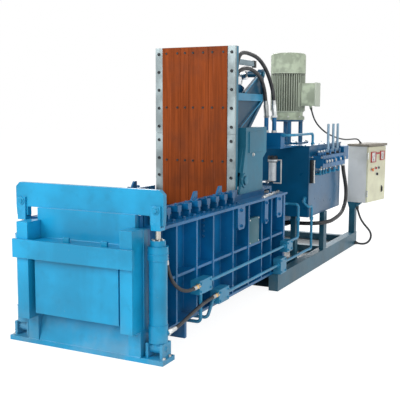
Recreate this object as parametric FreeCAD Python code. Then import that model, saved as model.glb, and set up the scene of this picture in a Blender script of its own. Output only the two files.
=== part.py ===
"""Scrap baling press: bale chamber with a lifting gate, hinged shear lid and its power pack.

Stations along the machine (the y values below) are measured rearwards from the front edge of
the gate's foot plate. save() moves every piece so that the origin lies under that plate's
centre, on the ground. +X is the machine's right side seen from the gate, +Z is up.
"""
import FreeCAD, Part
import math
import os

V = FreeCAD.Vector

# Clearances
RUN = 0.05          # radial running fit of pins, rods and pistons
GAP = 6.0           # free space between moving and standing pieces
SEAT = 0.3          # curved faces that rest against each other
HOSE_SEAT = 0.2     # between a hose's end and its fitting

# Gate foot and sill
foot_width = 1226.0
foot_depth = 156.0
foot_thick = 32.0
anchor_radius = 9.0
anchor_edge = 15.0
anchor_pitch = 76.0
sill_top = 234.0
sill_thick = 22.0
sill_front = 5.0
sill_rise = 55.0

# Gate frame
post_width = 90.0
post_outer = 451.0
post_front = -92.0
post_bottom = 203.0
post_top = 857.0
post_wall = 20.0
stile_depth = 45.0
side_thick = 55.0
frame_front = 96.0
frame_thick = 30.0
frame_top = 850.0
lintel_top = 930.0
crossbar_half = 469.0
crossbar_bottom = 620.0
crossbar_top = 745.0
crossbar_thick = 28.0

# Sliding gate
door_half = 388.0
door_front = 50.0
door_thick = 40.0
door_bottom = 240.0
panel_half = 330.0
panel_front = -62.0
panel_top = 738.0
panel_plate = 18.0
lug_width = 46.0
lug_height = 34.0
lug_thick = 16.0
lug_places = (-70.0, 225.0)
yoke_half = 584.0
yoke_front = 68.0
yoke_thick = 37.0
yoke_bottom = 937.0
yoke_top = 1102.0
yoke_corner = 30.0
ear_inner = 485.0
ear_outer = 579.0
ear_bottom = 876.0

# Gate cylinders
lift_x = 532.0
lift_y = 86.5
tube_radius = 60.0
tube_bore = 48.0
tube_bottom = 128.0
tube_top = 745.0
lower_collar_radius = 63.0
lower_collar_top = 239.0
upper_collar_radius = 66.0
upper_collar_bottom = 661.0
gland_radius = 50.0
gland_top = 784.0
gland_depth = 70.0
base_plug = 50.0
rod_radius = 19.0
piston_thick = 45.0
fork_bottom = 846.0
fork_half = 34.0
fork_pin_above = 37.0
fork_pin_margin = 28.0
fork_plate = 12.0
fork_pin_radius = 12.0
foot_eye_radius = 36.0
foot_eye_width = 84.0
foot_pin_height = 88.0
foot_pin_radius = 16.0
bracket_plate = 20.0
bracket_depth = 112.0
port_radius = 17.0
port_reach = 196.0
port_drop = 13.0
gate_fitting_long = 46.0

# Charging box
wall_inner = 385.0
wall_thick = 20.0
box_front = 126.0
box_rear = 2402.0
box_bottom = 150.0
floor_top = 235.0
floor_thick = 30.0
floor_beam_width = 60.0
floor_beam_places = (-300.0, 0.0, 300.0)
base_flange_front = 160.0
wall_top = 838.0
rib_reach = 105.0
rib_thick = 20.0
rib_stations = (365.0, 661.0, 929.0, 1281.0, 1592.0, 1876.0, 2096.0)
rib_second_offset = 60.0
rib_second_reach = 62.0
rib_second_thick = 12.0
rail_mid = 488.0
rail_mid_thick = 20.0
rail_mid_front = 321.0
flange_reach = 125.0
flange_thick = 20.0
flange_front = 142.0
bulkhead_thick = 40.0
lug_tabs = ((1335.0, 1476.0, 662.0), (1898.0, 1973.0, 634.0), (2180.0, 2313.0, 651.0))
tab_thick = 18.0
tab_round = 24.0
leg_front = 573.0
leg_thick = 29.0
leg_inner = 342.0
leg_outer = 464.0

# Shear rails on the box
rail_inner = 375.0
rail_thick = 25.0
rail_top = 950.0
rail_rear = 2200.0
rail_low_top = 906.0
rail_step_gap = 60.0
clamp_first = 215.0
clamp_pitch = 150.0
clamp_count = 9
clamp_long = 54.0
clamp_stem = 26.0
clamp_deep = 56.0
clamp_head_height = 44.0
clamp_stem_height = 48.0
fin_stations_right = (805.0, 1225.0)
fin_stations_left = (1238.0,)
fin_height = 60.0
fin_base = 86.0
fin_tip = 38.0
fin_thick = 16.0

# Bale chamber cover
cover_rear = 620.0
cover_bottom = 885.0
cover_thick = 38.0

# Ram, drawn back
ram_half = 368.0
ram_face = 2010.0
ram_top = 868.0
ram_plate = 30.0
housing_front = 1985.0
housing_bottom = 885.0
housing_thick = 20.0

# Main cylinder
main_z = 430.0
main_radius = 105.0
main_bore = 85.0
main_rear = 3900.0
main_collar_radius = 118.0
main_collar_long = 90.0
main_port_radius = 28.0
main_port_long = 35.0

# Lid hinge and lid
hinge_y = 1745.0
hinge_z = 1015.0
shaft_radius = 40.0
hinge_boss = 60.0
lid_half = 370.0
lid_bottom = 790.0
lid_top = 2110.0
lid_back = 1679.0
lid_plate = 40.0
knife_width = 69.0
knife_thick = 24.0
knife_joint = 1400.0
knife_gap = 2.0
board_thick = 30.0
board_widths = (175.0, 77.0, 181.0, 169.0)
board_joint = 2.0
lid_rib_places = (-280.0, 280.0)
lid_rib_deep = 76.0
lid_rib_thick = 20.0
lid_rib_bottom = 1115.0
lid_rib_top = lid_top - 30.0
lid_cross_heights = (1130.0, 1440.0, 1790.0, lid_top - 50.0)

# Lid arms
arm_inner = 180.0
arm_width = 40.0
arm_bottom = 1684.0
arm_top = 1742.0
arm_end = 2624.0
apex_y = 2579.0
apex_z = 1929.0
apex_boss = 45.0
arm_pin_radius = 30.0
arm_web = 14.0
strut_deep = 34.0
hose_bar_height = 45.0
hose_bar_bottom = lid_top - 120.0
hose_bar_end = 2430.0
hose_bar_thick = 20.0

# Lid cylinder
ram_pin_y = 2110.0
ram_pin_z = 1120.0
ram_pin_radius = 25.0
barrel_radius = 62.0
barrel_bore = 50.0
barrel_start = 70.0
barrel_end = 770.0
barrel_gland = 24.0
barrel_eye_radius = 52.0
eye_half = 60.0
lid_rod_radius = 30.0
lid_piston_thick = 50.0
lid_eye_radius = 50.0
lug_gap = 12.0
lug_plate = 20.0

# Cheeks that carry the lid hinge
cheek_inner = 315.0
cheek_inner_thick = 16.0
cheek_outer_face = 402.0
cheek_outer_thick = 26.0
cheek_top = 1450.0
cheek_rear = 2232.0
cheek_waist_rear = 2150.0
cheek_front = 1774.0
cheek_slope_top = 1290.0
cheek_foot_front = 1668.0
cheek_cover_thick = 10.0

# Skid
skid_front = 2140.0
skid_rear = 4788.0
skid_outer = 566.0
skid_width = 88.0
skid_height = 150.0
skid_plate = 12.0
cross_stations = (2500.0, 3100.0, 3900.0, 4700.0)
cross_long = 80.0
cross_height = 100.0
tray_z = 30.0
tray_thick = 5.0

# Oil tank
tank_half = 540.0
tank_front = 3012.0
tank_rear = 4075.0
tank_bottom = 550.0
tank_top = 1240.0
tank_wall = 8.0
tank_lid_thick = 12.0
tank_lid_reach = 10.0
tank_leg_long = 97.0
tank_leg_wide = 50.0
tank_leg_station = 3463.0
inner_leg_x = 330.0
inner_leg_station = 3100.0

# Motor on its stool
motor_x = 150.0
motor_y = 3450.0
stool_top = 1497.0
stool_plate = 18.0
stool_half = 175.0
stool_table_radius = 166.0
stool_post_radius = 22.0
stool_post_place = 138.0
stool_turn = 27.0
stool_core_radius = 42.0
motor_flange_radius = 176.0
motor_flange_thick = 28.0
motor_shield_radius = 158.0
motor_shield_top = 1577.0
motor_radius = 164.0
motor_top = 2175.0
cowl_bottom = 1968.0
cowl_radius = 180.0
terminal_x0 = 300.0
terminal_x1 = 470.0
terminal_y0 = 3380.0
terminal_y1 = 3520.0
gland_collar = 13.0
motor_gland_long = 45.0
terminal_bottom = 1640.0
terminal_top = 1870.0

# Valve bank and levers
valve_reach = 120.0
valve_front = 3085.0
valve_rear = 3860.0
valve_bottom = 1030.0
valve_top = 1150.0
end_block_front = 3880.0
end_block_rear = 4060.0
end_block_bottom = 1070.0
end_block_top = 1215.0
lever_stations = (3430.0, 3604.0, 3762.0)
lever_top = 1460.0
lever_radius = 9.0
lever_hub_radius = 20.0
lever_hub_half = 16.0
lever_ear_thick = 8.0
lever_pivot_z = 1182.0
valve_fitting_radius = 25.0
valve_fitting_long = 35.0

# Pipe work
manifold_low_x = 225.0
manifold_high_x = 410.0
manifold_front = 2570.0
manifold_deep = 100.0
manifold_height = 132.0
shelf_thick = 15.0
pipe_radius = 12.5
pipe_x = 552.0
upper_pipe_z = 380.0
lower_pipe_z = 232.0
cross_pipe_z = 112.0
stub_near = 323.0
stub_far = 244.0
stub_top = 1548.0
lid_sleeve_long = 92.0
bridge_x = 495.0
bridge_drop = 22.0
bridge_landing = 238.0
block_overhang = 30.0
block_fitting_long = 35.0
upper_block_front = 573.0
upper_block_rear = 770.0
upper_block_bottom = 325.0
upper_block_top = 422.0
rear_block_front = 2325.0
rear_block_rear = 2465.0
rear_block_bottom = 322.0
rear_block_top = 422.0
riser_y = 2690.0
upper_riser_top = 716.0
upper_port_x = 425.0
lower_block_front = 889.0
lower_block_rear = 1065.0
lower_block_bottom = 186.0
lower_block_top = 290.0
clamp_front = 2165.0
clamp_rear = 2305.0
clamp_top = 290.0
lower_riser_y = 3070.0
lower_riser_top = 655.0
lower_port_x = 505.0
lower_port_rise = 80.0
cross_pipe_end = 450.0
upper_cross_y = 645.0
lower_cross_y = 740.0
feed_block_front = 2140.0
feed_block_x0 = 228.0
feed_block_x1 = 311.0
feed_block_height = 80.0
feed_fitting_radius = 22.0
feed_fitting_long = 45.0
hose_radius = 17.5
gate_hose_radius = 12.5
cable_radius = 8.0
valve_hose_radius = 20.0
conduit_radius = 12.0

# Cabinet
cabinet_x = 700.0
cabinet_y = 4700.0
cabinet_turn = 10.3
cabinet_deep = 250.0
cabinet_long = 500.0
cabinet_bottom = 510.0
cabinet_top = 1175.0
cabinet_wall = 3.0
cabinet_door_thick = 18.0
cabinet_cap_thick = 24.0
cabinet_gland_long = 30.0
knuckle_radius = 7.0
knuckle_long = 80.0
knuckle_inset = 70.0
conduit_collar = 16.0
post_fitting_long = 40.0
skid_fitting_long = 30.0
post_front_y = 4700.0
post_x0 = 490.0
post_x1 = 560.0
post_plate = 8.0

# Derived places
door_rear = door_front + door_thick
frame_rear = frame_front + frame_thick
wall_outer = wall_inner + wall_thick
rib_outer = wall_outer + rib_reach
flange_outer = wall_outer + flange_reach
rail_outer = rail_inner + rail_thick
lid_rear_plane = lid_back
lid_front_plane = lid_back - lid_plate
arm_outer = arm_inner + arm_width
rod_dir = V(0, apex_y - ram_pin_y, apex_z - ram_pin_z)
rod_length = rod_dir.Length
rod_dir.normalize()
lever_x = tank_half + valve_reach / 2
tank_deck = tank_top + tank_lid_thick


def box(x0, x1, y0, y1, z0, z1):
    return Part.makeBox(x1 - x0, y1 - y0, z1 - z0, V(x0, y0, z0))


def rod(radius, start, end):
    start = V(*start)
    line = V(*end) - start
    return Part.makeCylinder(radius, line.Length, start, line)


def face_of(points):
    corners = [V(*p) for p in points]
    return Part.Face(Part.makePolygon(corners + corners[:1]))


def slab_x(outline, x0, x1):
    """Prism along X from an outline of (y, z) points."""
    return face_of([(x0, y, z) for y, z in outline]).extrude(V(x1 - x0, 0, 0))


def slab_y(outline, y0, y1):
    """Prism along Y from an outline of (x, z) points."""
    return face_of([(x, y0, z) for x, z in outline]).extrude(V(0, y1 - y0, 0))


def slab_z(outline, z0, z1):
    """Prism along Z from an outline of (x, y) points."""
    return face_of([(x, y, z0) for x, y in outline]).extrude(V(0, 0, z1 - z0))


def fuse(shapes):
    result = shapes[0]
    if len(shapes) > 1:
        result = result.multiFuse(shapes[1:])
    return result.removeSplitter()


def mirrored(shape):
    return shape.mirror(V(0, 0, 0), V(1, 0, 0))


def save(name, *shapes):
    """Write one node, moved so that the origin is under the foot plate's centre."""
    solids = [solid for shape in shapes for solid in shape.Solids]
    node = solids[0] if len(solids) == 1 else Part.makeCompound(solids)
    node = node.copy()
    node.translate(V(0, -foot_depth / 2, 0))
    node.exportStep("parts/" + name + ".step")
    size = node.BoundBox
    print(name, len(solids), "solids", node.isValid(), round(size.XLength), round(size.YLength),
          round(size.ZLength))


def save_pair(name, right):
    """Write the right-hand piece and its mirror image on the left."""
    save(name + "_right", right)
    save(name + "_left", mirrored(right))


def bar(start, end, deep, x0, x1):
    """Flat bar between two (y, z) points, deep mm across."""
    along = V(0, end[0] - start[0], end[1] - start[1])
    along.normalize()
    side = V(0, -along.z, along.y) * (deep / 2)
    low = V(0, *start)
    high = V(0, *end)
    corners = [low - side, high - side, high + side, low + side]
    return slab_x([(p.y, p.z) for p in corners], x0, x1)


def cord(name, points, radius):
    """Tube of straight runs joined by arcs, each arc as large as its two runs allow."""
    route = [V(*p) for p in points]
    edges = []
    last = route[0]
    radii = []
    for before, here, after in zip(route, route[1:], route[2:]):
        back = before - here
        ahead = after - here
        turn = math.pi - back.getAngle(ahead)
        cut = 0.45 * min(back.Length, ahead.Length)
        arc_radius = cut / math.tan(turn / 2)
        radii.append(arc_radius)
        back.normalize()
        ahead.normalize()
        start = here + back * cut
        end = here + ahead * cut
        middle = back + ahead
        middle.normalize()
        centre = here + middle * (arc_radius / math.cos(turn / 2))
        top = centre - middle * arc_radius
        edges.append(Part.LineSegment(last, start).toShape())
        edges.append(Part.Arc(start, top, end).toShape())
        last = end
    edges.append(Part.LineSegment(last, route[-1]).toShape())
    path = Part.Wire(edges)
    length = path.Length
    heading = route[1] - route[0]
    disc = Part.Wire(Part.makeCircle(radius, route[0], heading))
    tube = path.makePipeShell([disc], True, False)
    print(name, "length", round(length), "radii", [round(r) for r in radii],
          "volume ratio", round(tube.Volume / (math.pi * radius ** 2 * length), 4))
    save(name, tube)


def fitting(route, end, radius, long):
    """Fitting in line with the first (0) or last (-1) point of a hose's route."""
    tip = V(*route[end])
    inward = tip - V(*route[1 if end == 0 else -2])
    inward.normalize()
    return Part.makeCylinder(radius, long, tip + inward * HOSE_SEAT, inward)


def pipe(points, radius, bend):
    """Rigid pipe with equal bends."""
    route = [V(*p) for p in points]
    edges = []
    last = route[0]
    for before, here, after in zip(route, route[1:], route[2:]):
        back = before - here
        ahead = after - here
        back.normalize()
        ahead.normalize()
        turn = math.pi - back.getAngle(ahead)
        cut = bend * math.tan(turn / 2)
        middle = back + ahead
        middle.normalize()
        start = here + back * cut
        end = here + ahead * cut
        top = here + middle * (bend / math.cos(turn / 2) - bend)
        edges.append(Part.LineSegment(last, start).toShape())
        edges.append(Part.Arc(start, top, end).toShape())
        last = end
    edges.append(Part.LineSegment(last, route[-1]).toShape())
    disc = Part.Wire(Part.makeCircle(radius, route[0], route[1] - route[0]))
    return Part.Wire(edges).makePipeShell([disc], True, False)


def foot_and_sill():
    plate = box(-foot_width / 2, foot_width / 2, 0, foot_depth, 0, foot_thick)
    hole_x = foot_width / 2 - anchor_edge
    for x in (-hole_x, hole_x):
        for y in (foot_depth / 2 - anchor_pitch / 2, foot_depth / 2 + anchor_pitch / 2):
            plate = plate.cut(rod(anchor_radius, (x, y, -1), (x, y, foot_thick + 1)))
    save("foot_plate", plate)
    low = sill_front + sill_rise
    sill = slab_x([(sill_front, foot_thick), (sill_front + sill_thick, foot_thick),
                   (low + sill_thick, sill_top), (low, sill_top)],
                  post_width - post_outer, post_outer - post_width)
    save("front_sill", sill)


def gate_frame():
    inner = post_outer - post_width
    guide_rear = door_front - 5
    post = box(inner, post_outer, post_front, guide_rear, post_bottom, post_top)
    hollow = box(inner + post_wall, post_outer - post_wall, post_front + post_wall,
                 guide_rear - post_wall, post_bottom + post_wall, post_top - post_wall)
    post = post.cut(hollow)
    stile = box(inner, post_outer, 0, stile_depth, foot_thick, post_bottom)
    side = box(post_outer - side_thick, post_outer, guide_rear, frame_front, foot_thick, frame_top)
    save_pair("gate_post", fuse([post, stile, side]))

    plate = box(-post_outer, post_outer, frame_front, frame_rear, foot_thick, frame_top)
    lintel = box(-rail_outer, rail_outer, frame_front, frame_rear, frame_top - 10, lintel_top)
    opening = box(-wall_inner, wall_inner, frame_front - 1, frame_rear + 1, floor_top, cover_bottom)
    save("front_frame", fuse([plate, lintel]).cut(opening))

    save("cross_bar", box(-crossbar_half, crossbar_half, post_front - crossbar_thick, post_front,
                          crossbar_bottom, crossbar_top))


def sliding_gate():
    save("door_plate", box(-door_half, door_half, door_front, door_rear, door_bottom, yoke_bottom))

    shell = box(-panel_half, panel_half, panel_front, door_front, door_bottom, panel_top)
    hollow = box(-panel_half + panel_plate, panel_half - panel_plate, panel_front + panel_plate,
                 door_front - panel_plate, door_bottom + panel_plate, panel_top - panel_plate)
    panel = [shell.cut(hollow)]
    for x in lug_places:
        lug = box(x - lug_width / 2, x + lug_width / 2, panel_front, panel_front + lug_thick,
                  panel_top, panel_top + lug_height)
        panel.append(lug)
    save("door_panel", fuse(panel))

    corner = yoke_corner
    outline = [(-yoke_half, yoke_bottom), (-yoke_half, yoke_top - corner),
               (-yoke_half + corner, yoke_top), (yoke_half - corner, yoke_top),
               (yoke_half, yoke_top - corner), (yoke_half, yoke_bottom),
               (ear_outer, ear_bottom), (ear_inner, ear_bottom), (ear_inner, yoke_bottom),
               (-ear_inner, yoke_bottom), (-ear_inner, ear_bottom), (-ear_outer, ear_bottom)]
    yoke = slab_y(outline, yoke_front, yoke_front + yoke_thick)
    for x in (-lift_x, lift_x):
        yoke = yoke.cut(rod(fork_pin_radius + RUN, (x, yoke_front - 1, ear_pin_z),
                            (x, yoke_front + yoke_thick + 1, ear_pin_z)))
    save("yoke_beam", yoke)


ear_pin_z = yoke_bottom + fork_pin_above


def gate_cylinder():
    eye = rod(foot_eye_radius, (lift_x - foot_eye_width / 2, lift_y, foot_pin_height),
              (lift_x + foot_eye_width / 2, lift_y, foot_pin_height))
    neck = rod(foot_eye_radius, (lift_x, lift_y, foot_pin_height), (lift_x, lift_y, tube_bottom))
    lower = rod(lower_collar_radius, (lift_x, lift_y, tube_bottom),
                (lift_x, lift_y, lower_collar_top))
    tube = rod(tube_radius, (lift_x, lift_y, lower_collar_top),
               (lift_x, lift_y, upper_collar_bottom))
    upper = rod(upper_collar_radius, (lift_x, lift_y, upper_collar_bottom),
                (lift_x, lift_y, tube_top))
    gland = rod(gland_radius, (lift_x, lift_y, tube_top), (lift_x, lift_y, gland_top))
    middle = (upper_collar_bottom + tube_top) / 2 - port_drop
    port = rod(port_radius, (lift_x, lift_y + tube_bore, middle), (lift_x, port_reach, middle))
    turned_down = fitting(gate_hose_upper, 0, port_radius, gate_fitting_long)
    low_port = fitting(gate_hose_lower, 0, port_radius, gate_fitting_long)
    body = fuse([eye, neck, lower, tube, upper, gland, port, turned_down, low_port])
    bore = rod(tube_bore, (lift_x, lift_y, tube_bottom + base_plug),
               (lift_x, lift_y, gland_top - gland_depth))
    way_out = rod(rod_radius + RUN, (lift_x, lift_y, gland_top - gland_depth - 1),
                  (lift_x, lift_y, gland_top + 1))
    pin_hole = rod(foot_pin_radius + RUN, (lift_x - foot_eye_width, lift_y, foot_pin_height),
                   (lift_x + foot_eye_width, lift_y, foot_pin_height))
    return body.cut(fuse([bore, way_out])).cut(pin_hole)


def gate_rod():
    seat = tube_bottom + base_plug + GAP
    piston = rod(tube_bore - RUN, (lift_x, lift_y, seat), (lift_x, lift_y, seat + piston_thick))
    stem = rod(rod_radius, (lift_x, lift_y, seat), (lift_x, lift_y, fork_bottom))
    fork_low = yoke_front - fork_plate - SEAT
    fork_high = yoke_front + yoke_thick + fork_plate + SEAT
    block_top = ear_bottom - 8
    fork_top = ear_pin_z + fork_pin_margin
    block = box(lift_x - fork_half, lift_x + fork_half, fork_low, fork_high, fork_bottom, block_top)
    front = box(lift_x - fork_half, lift_x + fork_half, fork_low, fork_low + fork_plate,
                block_top, fork_top)
    back = box(lift_x - fork_half, lift_x + fork_half, fork_high - fork_plate, fork_high,
               block_top, fork_top)
    pin = rod(fork_pin_radius, (lift_x, fork_low - 10, ear_pin_z),
              (lift_x, fork_high + 10, ear_pin_z))
    return fuse([piston, stem, block, front, back, pin])


def gate_lift():
    save_pair("gate_cylinder", gate_cylinder())
    save_pair("gate_rod", gate_rod())
    half = foot_eye_width / 2
    top = tube_bottom - 1
    low_y = lift_y - bracket_depth / 2
    high_y = lift_y + bracket_depth / 2
    pieces = []
    for x in (lift_x - half - bracket_plate, lift_x + half):
        pieces.append(box(x, x + bracket_plate, low_y, high_y, foot_thick, top))
    pieces.append(rod(foot_pin_radius, (lift_x - half - bracket_plate - 8, lift_y, foot_pin_height),
                      (lift_x + half + bracket_plate + 8, lift_y, foot_pin_height)))
    bracket = fuse(pieces)
    save("cylinder_brackets", bracket, mirrored(bracket))


def charging_box():
    plate = box(-wall_inner, wall_inner, frame_rear, box_rear, floor_top - floor_thick, floor_top)
    pieces = [plate]
    for x in floor_beam_places:
        pieces.append(box(x - floor_beam_width / 2, x + floor_beam_width / 2, frame_rear, box_rear,
                          box_bottom, floor_top - floor_thick))
    save("box_floor", fuse(pieces))

    pieces = [box(wall_inner, wall_outer, frame_rear, box_rear, box_bottom, wall_top),
              box(rail_outer, flange_outer, flange_front, box_rear + bulkhead_thick, wall_top,
                  wall_top + flange_thick),
              box(wall_outer, rib_outer - 6, rail_mid_front, box_rear, rail_mid - rail_mid_thick / 2,
                  rail_mid + rail_mid_thick / 2),
              box(wall_outer, rib_outer, base_flange_front, box_rear, box_bottom,
                  box_bottom + rail_mid_thick)]
    for y in rib_stations:
        pieces.append(box(wall_outer, rib_outer, y, y + rib_thick, box_bottom, wall_top))
        second = y + rib_second_offset
        pieces.append(box(wall_outer, wall_outer + rib_second_reach, second,
                          second + rib_second_thick, box_bottom, wall_top))
    pieces.append(box(leg_inner, leg_outer, leg_front, leg_front + leg_thick, 0, box_bottom))
    for y0, y1, low in lug_tabs:
        outline = [(y0, wall_top), (y0, low + tab_round), (y0 + tab_round, low),
                   (y1 - tab_round, low), (y1, low + tab_round), (y1, wall_top)]
        pieces.append(slab_x(outline, flange_outer - tab_thick, flange_outer))
    save_pair("box_side", fuse(pieces))

    lower = box(-rib_outer, rib_outer, box_rear, box_rear + bulkhead_thick, box_bottom, wall_top)
    upper = box(-rail_inner, rail_inner, box_rear, box_rear + bulkhead_thick, wall_top,
                housing_bottom)
    plate = fuse([lower, upper])
    save("rear_bulkhead", plate)

    save("chamber_cover", box(-rail_inner, rail_inner, frame_rear, cover_rear, cover_bottom,
                              cover_bottom + cover_thick))


def shear_rail(fin_stations, side):
    step = cheek_foot_front - rail_step_gap
    pieces = [box(rail_inner, rail_outer, flange_front, step, wall_top, rail_top),
              box(rail_inner, rail_outer, step, rail_rear, wall_top, rail_low_top)]
    deck = wall_top + flange_thick
    for number in range(clamp_count):
        y = clamp_first + number * clamp_pitch
        pieces.append(box(rail_outer, rail_outer + clamp_deep, y - clamp_stem / 2,
                          y + clamp_stem / 2, deck, deck + clamp_stem_height))
        pieces.append(box(rail_outer, rail_outer + clamp_deep, y - clamp_long / 2,
                          y + clamp_long / 2, deck + clamp_stem_height,
                          deck + clamp_stem_height + clamp_head_height))
    for y in fin_stations:
        foot = rail_top
        outline = [(y, foot), (y + fin_base, foot), (y + fin_base, foot + fin_height),
                   (y + fin_base - fin_tip, foot + fin_height)]
        pieces.append(slab_x(outline, rail_outer - fin_thick, rail_outer))
    rail = fuse(pieces)
    save("shear_rail_" + side, rail if side == "right" else mirrored(rail))


def ram_and_cylinder():
    body = box(-ram_half, ram_half, ram_face, box_rear - GAP, floor_top, ram_top)
    inner = box(-ram_half + ram_plate, ram_half - ram_plate, ram_face + ram_plate, box_rear + 1,
                floor_top + ram_plate, ram_top - ram_plate)
    save("ram", body.cut(inner))
    front = box_rear + bulkhead_thick
    barrel = rod(main_radius, (0, front, main_z), (0, main_rear, main_z))
    collar = rod(main_collar_radius, (0, front, main_z), (0, front + main_collar_long, main_z))
    cap = rod(main_collar_radius, (0, main_rear - main_collar_long, main_z), (0, main_rear, main_z))
    hollow = rod(main_bore, (0, front + main_collar_long, main_z),
                 (0, main_rear - main_collar_long, main_z))
    saddle_y = cross_stations[1]
    saddle = box(-main_radius, main_radius, saddle_y, saddle_y + cross_long,
                 cross_height, main_z - main_radius / 2)
    port_y = valve_hose[-1][1]
    port = fuse([rod(main_port_radius, (main_bore + 5, port_y, main_z),
                     (main_collar_radius, port_y, main_z)),
                 fitting(valve_hose, -1, main_port_radius - 4, main_port_long)])
    cylinder = fuse([barrel, collar, cap, port]).cut(hollow)
    save("main_cylinder", fuse([cylinder, saddle.cut(rod(main_radius, (0, front, main_z),
                                                         (0, main_rear, main_z)))]))


def cheek_outline(foot, front_foot):
    return [(front_foot, foot), (cheek_waist_rear, foot), (cheek_waist_rear, 1180),
            (cheek_rear, 1230), (cheek_rear, cheek_top), (cheek_front, cheek_top),
            (cheek_front, cheek_slope_top)]


def cheek():
    low = lid_rear_low
    outer0 = cheek_outer_face - cheek_outer_thick
    outer = slab_x(cheek_outline(rail_low_top, cheek_foot_front), outer0, cheek_outer_face)
    ring = rod(hinge_boss, (cheek_outer_face, hinge_y, hinge_z),
               (cheek_outer_face + cheek_cover_thick, hinge_y, hinge_z))
    inner1 = cheek_inner + cheek_inner_thick
    outline = [(hinge_y, low), (cheek_waist_rear, low), (cheek_waist_rear, 1180),
               (cheek_rear, 1230), (cheek_rear, cheek_top), (cheek_front, cheek_top),
               (cheek_front, cheek_slope_top), (hinge_y - hinge_boss + 4, hinge_z)]
    inner = slab_x(outline, cheek_inner, inner1)
    boss = rod(hinge_boss, (cheek_inner, hinge_y, hinge_z), (inner1, hinge_y, hinge_z))
    plate = cheek_inner_thick
    front = slab_x([(cheek_front, cheek_top), (cheek_front, cheek_slope_top),
                    (cheek_front - 68, 1080), (cheek_front - 52, 1080),
                    (cheek_front + plate, cheek_slope_top), (cheek_front + plate, cheek_top)],
                   inner1, outer0)
    roof = box(inner1, outer0, cheek_front + plate, cheek_rear, cheek_top - plate, cheek_top)
    back = box(inner1, outer0, cheek_rear - plate, cheek_rear, 1230, cheek_top - plate)
    base = box(inner1, outer0, hinge_y + hinge_boss, cheek_waist_rear, low, low + plate)
    cover = box(cheek_outer_face, cheek_outer_face + cheek_cover_thick, 1834, 2154, 1240, 1416)
    body = fuse([outer, ring, inner, boss, front, roof, back, base, cover])
    bore = rod(shaft_radius + RUN, (0, hinge_y, hinge_z), (cheek_outer_face + 40, hinge_y, hinge_z))
    return body.cut(bore)


lid_rear_low = hinge_z - (hinge_y - lid_back) + GAP


def lid():
    frame = [box(-lid_half, lid_half, lid_front_plane, lid_back, lid_bottom, lid_top)]
    for x in lid_rib_places:
        frame.append(box(x - lid_rib_thick / 2, x + lid_rib_thick / 2, lid_back,
                         lid_back + lid_rib_deep, lid_rib_bottom, lid_rib_top))
    span = lid_rib_places[1]
    for z in lid_cross_heights:
        frame.append(box(-span, span, lid_back, lid_back + lid_rib_deep / 2, z, z + lid_rib_thick))
    bar_x = (arm_inner + arm_outer - hose_bar_thick) / 2
    frame.append(box(bar_x, bar_x + hose_bar_thick, lid_back, hose_bar_end, hose_bar_bottom,
                     hose_bar_bottom + hose_bar_height))
    save("lid_frame", fuse(frame))

    edge = lid_half - knife_width
    knives = []
    for x0 in (-lid_half, edge):
        for z0, z1 in ((lid_bottom, knife_joint - knife_gap / 2),
                       (knife_joint + knife_gap / 2, lid_top)):
            knives.append(box(x0, x0 + knife_width, lid_front_plane - knife_thick,
                              lid_front_plane, z0, z1))
    save("lid_knives", *knives)

    boards = []
    x = -edge
    for width in board_widths:
        boards.append(box(x + board_joint / 2, min(x + width, edge) - board_joint / 2,
                          lid_front_plane - board_thick, lid_front_plane, lid_bottom, lid_top))
        x += width
    save("lid_boards", *boards)


def lid_arm():
    x0 = arm_inner
    x1 = arm_outer
    web0 = (x0 + x1 - arm_web) / 2
    web1 = web0 + arm_web
    web = slab_x([(lid_back, hinge_z - hinge_boss + 12), (hinge_y, hinge_z - hinge_boss),
                  (hinge_y + hinge_boss, hinge_z), (arm_end, arm_bottom), (arm_end, arm_top),
                  (apex_y, apex_z), (2210, arm_top), (lid_back, arm_top)], web0, web1)
    flat = box(x0, x1, lid_back, arm_end, arm_bottom, arm_top)
    lower = bar((hinge_y + 40, hinge_z + 40), (arm_end - 30, arm_bottom + 10), strut_deep, x0, x1)
    upper = bar((2210, arm_top), (apex_y, apex_z), strut_deep, x0, x1)
    rear = bar((arm_end - 20, arm_top - 20), (apex_y, apex_z), strut_deep, x0, x1)
    boss = rod(apex_boss, (x0, apex_y, apex_z), (x1, apex_y, apex_z))
    pin = rod(arm_pin_radius, (eye_half + lug_gap, apex_y, apex_z), (x1, apex_y, apex_z))
    eye = rod(hinge_boss, (x0, hinge_y, hinge_z), (x1, hinge_y, hinge_z))
    arm = fuse([web, flat, lower, upper, rear, boss, pin, eye])
    for z in lid_cross_heights:
        arm = arm.cut(box(x0, x1, lid_back, lid_back + lid_rib_deep / 2, z, z + lid_rib_thick))
    return arm


def lid_arms():
    arm = lid_arm()
    shaft = rod(shaft_radius, (-cheek_outer_face - 14, hinge_y, hinge_z),
                (cheek_outer_face + 14, hinge_y, hinge_z))
    save("lid_arms", fuse([arm, mirrored(arm), shaft]))


def on_line(distance, x=0.0):
    point = V(x, ram_pin_y, ram_pin_z) + rod_dir * distance
    return (point.x, point.y, point.z)


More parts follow.
